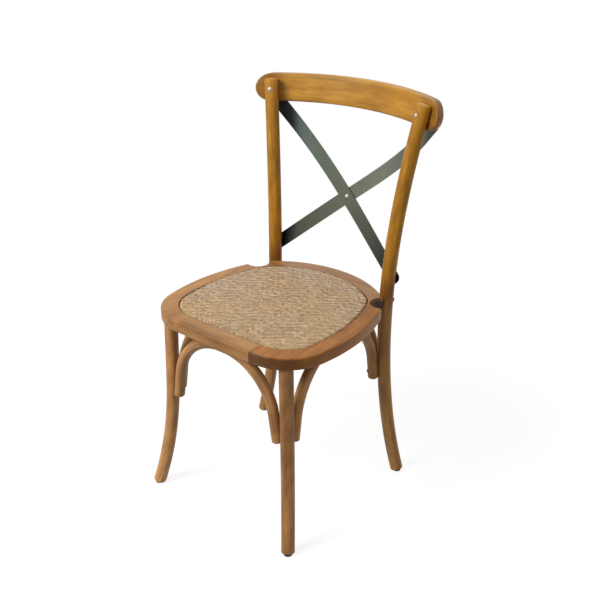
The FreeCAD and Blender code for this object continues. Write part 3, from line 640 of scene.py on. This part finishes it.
for hand, side in (("left", 1), ("right", -1)):
    piece = leg(f"round_back_leg_{hand}", back_leg_line, back_leg_radius, BACK_LEG_TOP, side,
                BACK_TOP_ROUNDING, wood_back_leg)
    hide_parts(f"back_leg_{hand}")
    piece = leg(f"round_front_leg_{hand}", front_leg_line, front_leg_radius, SEAT_UNDERSIDE,
                side, FRONT_TOP_ROUNDING, wood_front_legs[hand])
    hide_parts(f"front_leg_{hand}")

# %% [markdown]
# ## The braces
# Four rods, each steamed and bent into a hoop: up beside one leg, leaning in a little, round
# a wide bend, a short flat under the seat frame, and down again beside the next leg. A curve
# with handles could draw the hoop, but its bends would only look round. Here the centre line
# is made of straight pieces and true arcs, measured by their length, as a bender sets them
# out, and a circle is carried along it.

# %% Lay out a hoop
ROD = 11.8
HOUSING = 0.5
BRACE_END = 242.0
BRACE_TOP = SEAT_UNDERSIDE - ROD + HOUSING
SCREW_HEIGHT = BRACE_END + 18.0
HALF_FLAT = 6.0
LEAN = math.radians(9.0)
END_ROUNDING = 3.5
HOOP_RINGS = 120


def brace_foot(line_at, radius_at, bearing):
    """Where a brace bears on a left leg, at its screw, in the bearing's direction."""
    reach = radius_at(SCREW_HEIGHT) + ROD - HOUSING
    turn = math.radians(bearing)
    return line_at(np.array(SCREW_HEIGHT))[:2] + reach * np.array([math.cos(turn), math.sin(turn)])


def hoop(start, end):
    """Centre line of a hoop between two feet, by arc length: a straight leg that leans in, a
    bend, a flat, and the same back. The leg's length l and the bend's radius r solve
    l cos + r (1 - sin) = height and l sin + r cos = width for the angle of lean."""
    half = np.linalg.norm(end - start) / 2
    height, width = BRACE_TOP - SCREW_HEIGHT, half - HALF_FLAT
    sine, cosine = math.sin(LEAN), math.cos(LEAN)
    straight = height * cosine / (1 - sine) - width
    bend = (width * cosine - height * sine) / (1 - sine)
    below = (SCREW_HEIGHT - BRACE_END) / cosine
    upright = straight + below
    sweep = bend * (math.pi / 2 - LEAN)
    total = 2 * (upright + sweep + HALF_FLAT)
    rim = rounded_rim(END_ROUNDING)[0]
    body = np.linspace(rim[-1], total - rim[-1], HOOP_RINGS)[1:-1]
    along = np.concatenate([[0], rim, body, (total - rim)[::-1], [total]])
    near = np.minimum(along, total - along)
    leg_part = np.minimum(near, upright) - below
    angle = LEAN + np.clip((near - upright) / bend, 0, math.pi / 2 - LEAN)
    out = half - leg_part * sine - bend * (cosine - np.cos(angle))
    out -= np.clip(near - upright - sweep, 0, None)
    out = np.where(along < total / 2, -out, out)
    level = SCREW_HEIGHT + leg_part * cosine + bend * (np.sin(angle) - sine)
    within = END_ROUNDING - np.minimum(near, END_ROUNDING)
    radius = ROD - END_ROUNDING + np.sqrt(END_ROUNDING ** 2 - within ** 2)
    radius[0] = radius[-1] = 0
    middle, way = (start + end) / 2, (end - start) / np.linalg.norm(end - start)
    plan = middle + out[:, None] * way
    return np.column_stack([plan, level]) * MM, radius * MM, np.array([-way[1], way[0], 0])


# %% Make the braces
FRONT_BEARING, REAR_BEARING = 187, 172
SIDE_FRONT_BEARING, SIDE_REAR_BEARING = 94, 226
MIRROR = np.array([-1, 1])

front_foot = brace_foot(front_leg_line, front_leg_radius, FRONT_BEARING)
rear_foot = brace_foot(back_leg_line, back_leg_radius, REAR_BEARING)
side_front = brace_foot(front_leg_line, front_leg_radius, SIDE_FRONT_BEARING)
side_rear = brace_foot(back_leg_line, back_leg_radius, SIDE_REAR_BEARING)
for name, start, end in (("front_brace", front_foot * MIRROR, front_foot),
                         ("rear_brace", rear_foot * MIRROR, rear_foot),
                         ("left_brace", side_front, side_rear),
                         ("right_brace", side_front * MIRROR, side_rear * MIRROR)):
    line, radius, across = hoop(start, end)
    piece = round_member("round_" + name, line, radius, across, wood_brace, BRACE_END * MM)
    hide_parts(name)
    print(piece.name, "top at", round(line[:, 2].max(), 4))

# %% [markdown]
# ## Smooth shading for the machined pieces
# The rails, the crest rail, the straps and the screws keep their solid form. Their meshes are
# loose triangles. Mending each by hand would have to be done again after every change of the
# solids, so a small set of geometry nodes joins the triangles as the piece is shown, smooths
# the shading over gentle curves and keeps it sharp over real edges.

# %% Join and smooth the solid pieces
SHARP_EDGE = math.radians(32)


def keep_end_grain(group, grain):
    """A node that keeps, at each corner of each face, the size of the normal's part along the
    grain's axis."""
    store = group.nodes.new("GeometryNodeStoreNamedAttribute")
    store.data_type = "FLOAT"
    store.domain = "CORNER"
    normal = group.nodes.new("GeometryNodeInputNormal")
    size = math_node(group, "ABSOLUTE", axes(group, normal.outputs[0])[grain])
    wire(group, store, {"Name": "end_grain", "Value": size})
    return store


def smooth_over_curves(limit, grain=None):
    """Geometry nodes: merge the points, shade smooth, keep edges sharper than a limit, and
    keep the end grain where the grain's axis is named."""
    group = bpy.data.node_groups.new("smooth_over_curves", "GeometryNodeTree")
    for way in ("INPUT", "OUTPUT"):
        group.interface.new_socket("Geometry", in_out=way, socket_type="NodeSocketGeometry")
    merge = wired(group, "GeometryNodeMergeByDistance", {"Distance": SAME_POINT})
    angle = group.nodes.new("GeometryNodeInputMeshEdgeAngle")
    sharp = group.nodes.new("FunctionNodeCompare")
    sharp.data_type = "FLOAT"
    sharp.operation = "GREATER_THAN"
    wire(group, sharp, {"A": angle.outputs["Unsigned Angle"], "B": limit})
    faces = group.nodes.new("GeometryNodeSetShadeSmooth")
    faces.domain = "FACE"
    edges = group.nodes.new("GeometryNodeSetShadeSmooth")
    edges.domain = "EDGE"
    wire(group, edges, {"Shade Smooth": False, "Selection": sharp.outputs[0]})
    chain = [group.nodes.new("NodeGroupInput"), merge, faces, edges]
    if grain:
        chain.append(keep_end_grain(group, grain))
    chain.append(group.nodes.new("NodeGroupOutput"))
    for before, after in zip(chain, chain[1:]):
        group.links.new(before.outputs[0], after.inputs[0])
    return group


smoothers = {axis: smooth_over_curves(SHARP_EDGE, axis) for axis in (None, "X", "Y")}


def dress(node, material, grain=None):
    """Give a solid piece its finish and smooth shading."""
    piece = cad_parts[node]
    for slot in piece.material_slots:
        slot.material = material
    if not piece.material_slots:
        piece.data.materials.append(material)
    piece.modifiers.new("smooth", "NODES").node_group = smoothers[grain]
    print(node, "finished in", material.name)


# %% [markdown]
# ## The seat frame and the crest rail
# The four rails of the seat frame are sawn to the curve of the seat, so their grain runs
# straight through: along X in front and behind, and along Y at the sides. Where a sawn curve
# cuts across the fibres, at the front corners above all, the end grain drinks more stain and
# turns dark. That could be painted on by hand, but it follows from the direction of the
# surface alone, so the material works it out. Its strength, set rail by rail, is partly
# painted shade: full on the left rail, which faces away from the key lamp, and almost none on
# the right. The walls of the scoops behind the side rails get painted shade too. The crest
# rail is a thick board bent round one's back, and it is darker towards the ends.

# %% Finish the rails
SEAT_LIGHT, SEAT_DARK = paint(190, 142, 86), paint(150, 102, 52)
CREST_CENTRE_Y, CREST_RADIUS = -0.168, 0.41
# Between these two places along the bend the crest rail darkens towards its ends.
CREST_ENDS = (0.165, 0.215)
BOARD_SHADE_OVER = 0.4448

# The end grain's darkening, set here rail by rail, is partly painted shade: full on the left rail,
# which faces away from the key lamp, and almost none on the right.
dress("front_rail", stained_wood("wood_front_rail", paint(196, 148, 90), paint(156, 108, 56),
                                 plain_place, 1.0, end_stain_and_shade=1.0), "X")
dress("rear_rail", stained_wood("wood_rear_rail", SEAT_LIGHT, SEAT_DARK, plain_place, 2.0,
                                end_stain_and_shade=0.6), "X")
dress("left_rail", stained_wood("wood_left_rail", paint(183, 120, 46), paint(143, 86, 24),
                                sideways_place, 3.0, end_stain_and_shade=1.0), "Y")
dress("right_rail", stained_wood("wood_right_rail", paint(204, 152, 90), paint(168, 116, 58),
                                 sideways_place, 5.0, end_stain_and_shade=0.05), "Y")
dress("crest_rail", stained_wood("wood_crest_rail", paint(222, 165, 64), paint(182, 126, 38),
                                 arc_place(CREST_CENTRE_Y, CREST_RADIUS), 6.0, ends=CREST_ENDS))
dress("frame_dowels", stained_wood("wood_dowels", SEAT_LIGHT, SEAT_DARK, plain_place, 7.0))
# The board's top gets near-black painted shade, where it shows in the groove round the panel.
dress("seat_board", stained_wood("ply_board", paint(188, 158, 116), paint(160, 126, 84),
                                 plain_place, 9.0, 0.6, dark_over=BOARD_SHADE_OVER))

# %% [markdown]
# ## The straps
# Flat bars of steel, blackened and waxed, with an even grey-green patina, faint clouds and a
# fine grain of wear. Light and shade are painted into the patina: lighter in the middle, where
# the bars cross, and on the rear bar's upper right, and painted shade darkens the bars to
# almost black towards the bent ends beside the stiles. One plain colour would look like paint.
# A colour ramp across the chair places each tone where the photograph has it, and two noises
# cloud and wear it.

# %% Finish the straps
RAMP_WIDTH = 0.4
CLOUD_DRIFT = 0.08
WEAR_STOPS = ((0.35, (0.80, 0.80, 0.78)), (0.65, (1.12, 1.11, 1.07)))


def patina_and_painted_light(name, tones):
    """Grey-green steel. tones are pairs of a place across the chair, in metres, and the colour
    there: the patina with painted light and shade. The ramp runs over a width about the chair's
    middle."""
    material, tree, shader = new_material(name)
    here = plain_place(tree)
    clouds = noise(tree, here, 9, 3.0, 0.55)
    specks = noise(tree, here, 260, 3.0, 0.6)
    drift = math_node(tree, "MULTIPLY", math_node(tree, "SUBTRACT", clouds, 0.5), CLOUD_DRIFT)
    place = math_node(tree, "ADD", axes(tree, here)["X"], drift)
    across = math_node(tree, "ADD", math_node(tree, "MULTIPLY", place, 1 / RAMP_WIDTH), 0.5)
    tone = ramp(tree, across, [(x / RAMP_WIDTH + 0.5, colour) for x, colour in tones])
    tone = shaded(tree, tone, 0.7, specks, WEAR_STOPS)
    rough = spread(tree, clouds, 0.34, 0.56)
    wire(tree, shader, {"Base Color": tone, "Metallic": 0.35, "Roughness": rough})
    relief(tree, shader, specks, 0.2, 0.0003)
    return material


# Each ramp paints light and shade into the patina: near black at the bent ends beside the stiles,
# and lighter on the rear bar's upper right.
dress("cross_strap_front", patina_and_painted_light("front_strap_steel", [
    (-0.190, paint(18, 20, 18)), (-0.166, paint(82, 97, 91)), (-0.080, paint(70, 78, 64)),
    (0.010, paint(72, 77, 60)), (0.090, paint(58, 62, 50)), (0.150, paint(18, 20, 17))]))
dress("cross_strap_rear", patina_and_painted_light("rear_strap_steel", [
    (-0.128, paint(7, 8, 6)), (-0.106, paint(60, 64, 50)), (-0.020, paint(72, 77, 60)),
    (0.090, paint(102, 107, 93)), (0.185, paint(80, 86, 80))]))

# %% Finish the screws, the rivet and the bolts
def plated_steel(name, dull_tone, bright_tone):
    """Zinc-plated steel between two tones, dulled in places."""
    material, tree, shader = new_material(name)
    dull = noise(tree, plain_place(tree), 300, 3.0, 0.6)
    tone = ramp(tree, dull, ((0.35, dull_tone), (0.65, bright_tone)))
    rough = spread(tree, dull, 0.50, 0.34)
    wire(tree, shader, {"Base Color": tone, "Metallic": 0.9, "Roughness": rough})
    return material


plated = plated_steel("plated_steel", paint(140, 132, 114), paint(186, 180, 164))
for node in ("cross_rivet", "strap_high_screws", "crest_screws"):
    dress(node, plated)
# The same plated steel, darker: painted shade on the lower screws and the bolts under the seat.
shaded_plated = plated_steel("plated_steel_painted_shade", paint(70, 60, 48), paint(104, 94, 80))
for node in ("strap_low_screws", "brace_leg_screws", "brace_top_screws", "board_screws",
             "seat_bolts"):
    dress(node, shaded_plated)

# %% Finish the glides
def dark_plastic(name):
    """Near-black moulded plastic with a fine grain."""
    material, tree, shader = new_material(name)
    grain = noise(tree, plain_place(tree), 900, 2.0, 0.5)
    tone = ramp(tree, grain, ((0.3, paint(24, 24, 25)), (0.7, paint(42, 41, 40))))
    wire(tree, shader, {"Base Color": tone, "Roughness": 0.5})
    return material


dress("foot_glides", dark_plastic("dark_plastic"))

# %% [markdown]
# ## The woven panel
# The seat is a close twill of split rattan: each strand passes over two and under two of the
# strands that cross it, one step further along in each next row. A picture of a weave on a
# flat sheet would look printed from the side, so the strands are modelled one by one. A
# strand is a split cane, flat below and crowned above, carried along a line that follows the
# crowned seat, dips where it passes under, and rolls down into the groove at the rim. It has
# only four sides, because there are well over a hundred strands.

# %% The arcs that bound the panel
HALF_WIDTH, FRONT_EDGE, REAR_EDGE = 220.5, -251.0, 178.0
SIDE_RADIUS, REAR_RADIUS, FRONT_RADIUS = 430.0, 250.0, 2600.0
SIDE_CENTRE = np.array([HALF_WIDTH - SIDE_RADIUS, -84.0])
REAR_CENTRE = np.array([0.0, REAR_EDGE - REAR_RADIUS])
FRONT_CENTRE = np.array([0.0, FRONT_EDGE + FRONT_RADIUS])
PANEL_INSET = 37.4
PANEL_SIDE = SIDE_RADIUS - PANEL_INSET
PANEL_REAR = REAR_RADIUS - PANEL_INSET
PANEL_FRONT = FRONT_RADIUS - PANEL_INSET
FRONT_ROUNDING, REAR_ROUNDING = 77.6, 56.0


def unit(vector):
    """A vector of length 1 in the same direction."""
    return vector / np.linalg.norm(vector)


def corner(other, other_radius, rounding, way):
    """Centre of the round corner between the side arc and another arc: both circles are
    shrunk by the corner's radius, and of their two crossings the one that lies furthest in a
    given direction is taken."""
    apart = other - SIDE_CENTRE
    distance = np.linalg.norm(apart)
    apart = apart / distance
    one, two = PANEL_SIDE - rounding, other_radius - rounding
    along = (one ** 2 - two ** 2 + distance ** 2) / (2 * distance)
    off = math.sqrt(one ** 2 - along ** 2) * np.array([-apart[1], apart[0]])
    choices = [SIDE_CENTRE + apart * along + off, SIDE_CENTRE + apart * along - off]
    return max(choices, key=lambda point: float(point @ way))


front_corner = corner(FRONT_CENTRE, PANEL_FRONT, FRONT_ROUNDING, np.array([1, -1]))
rear_corner = corner(REAR_CENTRE, PANEL_REAR, REAR_ROUNDING, np.array([1, 1]))
print("corner centres", front_corner.round(1), rear_corner.round(1))

# %% The panel's outline
OUTLINE_STEPS, OUTLINE_LENGTH = 400, 1400
STRAIGHT_FORWARD, STRAIGHT_BACK = np.array([0, -1.0]), np.array([0, 1.0])
# Each arc of the right half: its centre, its radius, and the directions of its two ends
to_front, to_side_front = unit(front_corner - FRONT_CENTRE), unit(front_corner - SIDE_CENTRE)
to_side_rear, to_rear = unit(rear_corner - SIDE_CENTRE), unit(rear_corner - REAR_CENTRE)
ARCS = ((FRONT_CENTRE, PANEL_FRONT, STRAIGHT_FORWARD, to_front),
        (front_corner, FRONT_ROUNDING, to_front, to_side_front),
        (SIDE_CENTRE, PANEL_SIDE, to_side_front, to_side_rear),
        (rear_corner, REAR_ROUNDING, to_side_rear, to_rear),
        (REAR_CENTRE, PANEL_REAR, to_rear, STRAIGHT_BACK))


def panel_outline():
    """The outline as a closed curve: the arcs of one half as centre + radius (cos a, sin a),
    and their mirror image."""
    half = []
    for centre, radius, start, end in ARCS:
        low, high = math.atan2(start[1], start[0]), math.atan2(end[1], end[0])
        steps = int(OUTLINE_STEPS * abs(high - low) * radius / OUTLINE_LENGTH)
        turn = np.linspace(low, high, max(4, steps))
        half.append(centre + radius * np.stack([np.cos(turn), np.sin(turn)], -1))
    half = np.concatenate(half)
    return np.concatenate([half, (half * MIRROR)[::-1][1:-1]])


outline = panel_outline()
print("panel", (outline.max(0) - outline.min(0)).round(1), "mm")

# %% The crowned surface of the seat
PANEL_EDGE_TOP, CROWN = 451.5, 5.0
RIM_ROLL = 3.0
REBATE = 35.0
PANEL_MIDDLE_Y = (FRONT_EDGE + REAR_EDGE) / 2
CROWN_RADIUS = ((HALF_WIDTH - REBATE) ** 2 + CROWN ** 2) / (2 * CROWN)


def inward(x, y):
    """How far a point lies inside the panel's outline: the least of its distances to the
    arcs, where a corner's arc counts only in its own sector."""
    point = np.stack([np.abs(x), y], -1)
    distance = np.minimum.reduce([radius - np.linalg.norm(point - centre, axis=-1)
                                  for centre, radius in ((SIDE_CENTRE, PANEL_SIDE),
                                                         (REAR_CENTRE, PANEL_REAR),
                                                         (FRONT_CENTRE, PANEL_FRONT))])
    for centre, other, rounding in ((front_corner, FRONT_CENTRE, FRONT_ROUNDING),
                                    (rear_corner, REAR_CENTRE, REAR_ROUNDING)):
        one, two = centre - SIDE_CENTRE, centre - other
        from_centre = point - centre
        turn_one = one[0] * from_centre[..., 1] - one[1] * from_centre[..., 0]
        turn_two = two[0] * from_centre[..., 1] - two[1] * from_centre[..., 0]
        in_sector = (turn_one * turn_two < 0) & (from_centre @ (unit(one) + unit(two)) > 0)
        to_arc = rounding - np.linalg.norm(from_centre, axis=-1)
        distance = np.where(in_sector, to_arc, distance)
    return distance


def seat_height(x, y):
    """Height of the seat's surface: a wide sphere, rolled down by a quarter round at the rim."""
    dome = PANEL_EDGE_TOP + CROWN - CROWN_RADIUS + np.sqrt(
        CROWN_RADIUS ** 2 - x ** 2 - (y - PANEL_MIDDLE_Y) ** 2)
    near = np.clip(RIM_ROLL - inward(x, y), 0, RIM_ROLL)
    return dome - (RIM_ROLL - np.sqrt(RIM_ROLL ** 2 - near ** 2))


print("seat's middle at", seat_height(np.array(0.0), np.array(PANEL_MIDDLE_Y)).round(1), "mm")

# %% The step of the twill
PITCH = 4.4
STRANDS = np.arange(-60, 61)
SLIP_CHANCE, LARGEST_SLIP = 0.30, 3
chance = np.random.default_rng(4)
SLIPS = np.cumsum(np.where(chance.random(len(STRANDS)) < SLIP_CHANCE,
                           chance.integers(1, LARGEST_SLIP + 1, len(STRANDS)), 0))


def strand_heights(phase):
    """Over two and under two: a sine of four crossings, cut off at the top and the bottom."""
    return np.clip(1.5 * np.sin(math.pi / 2 * (phase + 0.5)), -1, 1)


def twill_phase(place):
    """The step of the twill at a place across the seat, counted in strands: it falls by one
    from strand to strand, and slips by one to three here and there, as in hand work."""
    return np.interp(place, STRANDS, SLIPS - STRANDS)


print("slips in the twill:", int((np.diff(SLIPS) > 0).sum()))

# %% The line of each strand
STRAND_WIDTH, STRAND_THICKNESS = 4.1, 1.2
DIP = 0.6
SAMPLES = 170
WANDER = 0.28
END_ROOM = 2.5


def strand_numbers(lengthwise):
    """The strands that fit between the outline's two sides, counted from the middle."""
    reach = outline[:, 0 if lengthwise else 1]
    return np.arange(math.ceil((reach.min() + END_ROOM) / PITCH),
                     math.floor((reach.max() - END_ROOM) / PITCH) + 1)


def strand_ends(across, lengthwise):
    """Where the strands at given places across the seat start and end, on the outline."""
    along_axis, across_axis = (1, 0) if lengthwise else (0, 1)
    middle = PANEL_MIDDLE_Y if lengthwise else 0.0
    ordered = outline[np.argsort(outline[:, across_axis])]
    upper = ordered[:, along_axis] >= middle
    return [np.interp(across, ordered[half, across_axis], ordered[half, along_axis])
            for half in (~upper, upper)]


def strand_lines(number, lengthwise, lift, wander_length, wander_start):
    """Centre lines of the strands that run one way, as (strands, samples, 3), and the place
    along each. A line is shifted to and fro by a sine whose length and start are its own, and
    rises and falls with the twill. Where a lengthwise strand is over, a crosswise one is
    under."""
    across = number * PITCH
    low, high = strand_ends(across, lengthwise)
    along = low[:, None] + (high - low)[:, None] * np.linspace(0, 1, SAMPLES)[None]
    aside = across[:, None] + WANDER * np.sin(along / wander_length + wander_start)
    if lengthwise:
        x, y = aside, along
        wave = strand_heights(twill_phase(number)[:, None] + along / PITCH)
    else:
        x, y = along, aside
        wave = -strand_heights(number[:, None] + twill_phase(along / PITCH))
    height = seat_height(x, y) - STRAND_THICKNESS / 2 - DIP + DIP * wave + lift[:, None]
    return along, np.stack([x, y, height], -1)


# %% Weave the strands
SECTION_ACROSS = np.array([-0.50, -0.27, 0.27, 0.50])
SECTION_UP = np.array([-0.5, 0.5, 0.5, -0.5])
NARROWEST, WIDEST = 0.86, 1.03
LOWEST_LIFT = -0.14
TONE_STEP = 0.0317


def tube_faces(count, length, ring):
    """Faces of closed tubes whose points are numbered tube by tube and ring by ring: four
    corners round each cell, and one face at each end."""
    index = np.arange(count * length * ring).reshape(count, length, ring)
    beside = np.roll(index, -1, axis=2)
    sides = np.stack([index[:, :-1], beside[:, :-1], beside[:, 1:], index[:, 1:]], -1)
    ends = np.concatenate([index[:, 0, ::-1], index[:, -1]])
    return sides.reshape(-1, 4).tolist() + ends.tolist()


def weave(name, lengthwise, material):
    """All strands that run one way. Each is a closed split cane: its section is set out
    across the strand and upwards from each point of its line. The strands differ a little in
    width and height, and each takes its tone from its number."""
    number = strand_numbers(lengthwise)
    count = len(number)
    breadth = STRAND_WIDTH * chance.uniform(NARROWEST, WIDEST, count)
    lift = chance.uniform(LOWEST_LIFT, 0.0, count)
    wander_length = chance.uniform(9, 26, (count, 1))
    wander_start = chance.uniform(0, 6.3, (count, 1))
    along, centre = strand_lines(number, lengthwise, lift, wander_length, wander_start)
    wide = (breadth[:, None] * SECTION_ACROSS)[:, None, :]
    thick = STRAND_THICKNESS * SECTION_UP
    aside = np.array([1.0, 0, 0]) if lengthwise else np.array([0, 1.0, 0])
    points = centre[:, :, None] + wide[..., None] * aside + thick[:, None] * np.array([0, 0, 1.0])
    tone = number[:, None, None] * TONE_STEP
    before = np.stack(np.broadcast_arrays(along[:, :, None] * MM, tone + wide * MM, thick * MM), -1)
    faces = tube_faces(*points.shape[:3])
    piece = new_piece(name, points * MM, faces, before, material, merge=False)
    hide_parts("woven_panel")
    print(count, "strands")


# %% Split rattan
FIBRE_STOPS = ((0.34, (0.74, 0.70, 0.66)), (0.60, (1.06, 1.06, 1.05)))
AGED_STOPS = ((0.36, (1.03, 1.0, 0.86)), (0.60, (0.98, 0.99, 1.04)))
AGED_TOWARDS_FRONT = 0.5


def rattan(name, light, dark):
    """Split rattan: every strand has its own tone, and pale fibres run along it. The seat is
    a little yellower in clouds and towards its front."""
    material, tree, shader = new_material(name)
    here = stock_place(tree)
    strand_tone = noise(tree, stretched(tree, here, 26, 46), 1.0, 4.0, 0.65)
    fibre = noise(tree, stretched(tree, here, 60, 2600), 1.0, 2.0, 0.6)
    tone = ramp(tree, strand_tone, ((0.38, dark), (0.62, light)))
    on_seat = plain_place(tree)
    rearward = math_node(tree, "MULTIPLY", axes(tree, on_seat)["Y"], AGED_TOWARDS_FRONT)
    aged = math_node(tree, "ADD", noise(tree, on_seat, 9, 2.0, 0.5), rearward)
    tone = shaded(tree, tone, 1.0, aged, AGED_STOPS)
    tone = shaded(tree, tone, 0.7, fibre, FIBRE_STOPS)
    wire(tree, shader, {"Base Color": tone, "Roughness": 0.55})
    relief(tree, shader, fibre, 0.3, 0.0002)
    return material


cane = rattan("split_rattan", paint(214, 188, 154), paint(166, 136, 104))
weave("woven_strands_lengthwise", True, cane)
weave("woven_strands_crosswise", False, cane)

# %% [markdown]
# ## The sheet of painted shade
# Under the strands lies a thin dark sheet of painted shade, for the shade in the gaps. The
# strands could be woven so tightly that nothing shows between them, but the real ones are not,
# and the board below would shine through. The sheet is the same crowned surface a little
# lower, carried down to the board at its rim.

# %% Lay the sheet of painted shade
SHADE_SHEET_GAP = 0.15
SHADE_SHEET_BASE = 445.2
SHADE_SHEET_SHARES = np.concatenate([[0.0], np.linspace(0.12, 0.96, 14), [0.975, 0.985, 0.992]])


def shade_sheet(material):
    """Rings from the middle to the outline, then down to the board and in again underneath:
    the point at share s and angle a is middle + s (outline(a) - middle)."""
    middle = np.array([0.0, PANEL_MIDDLE_Y])
    rim = np.concatenate([outline, outline[:1]])
    plan = middle + SHADE_SHEET_SHARES[:, None, None] * (rim - middle)[None]
    top = seat_height(plan[..., 0], plan[..., 1]) - 2 * DIP - STRAND_THICKNESS - SHADE_SHEET_GAP
    upper = np.concatenate([plan, top[..., None]], -1)
    base = np.full((len(rim), 1), SHADE_SHEET_BASE)
    lower = np.stack([np.concatenate([plan[ring], base], -1) for ring in (-1, 0)])
    points = np.concatenate([upper, lower]) * MM
    piece = grid_piece("seat_shade_sheet", points, points, material)
    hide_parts("woven_panel")


# A dark sheet of painted shade under the gaps between the strands, in the rattan's finish with
# darker tones.
shade_sheet(rattan("shade_sheet_paint", paint(120, 92, 62), paint(92, 68, 44)))
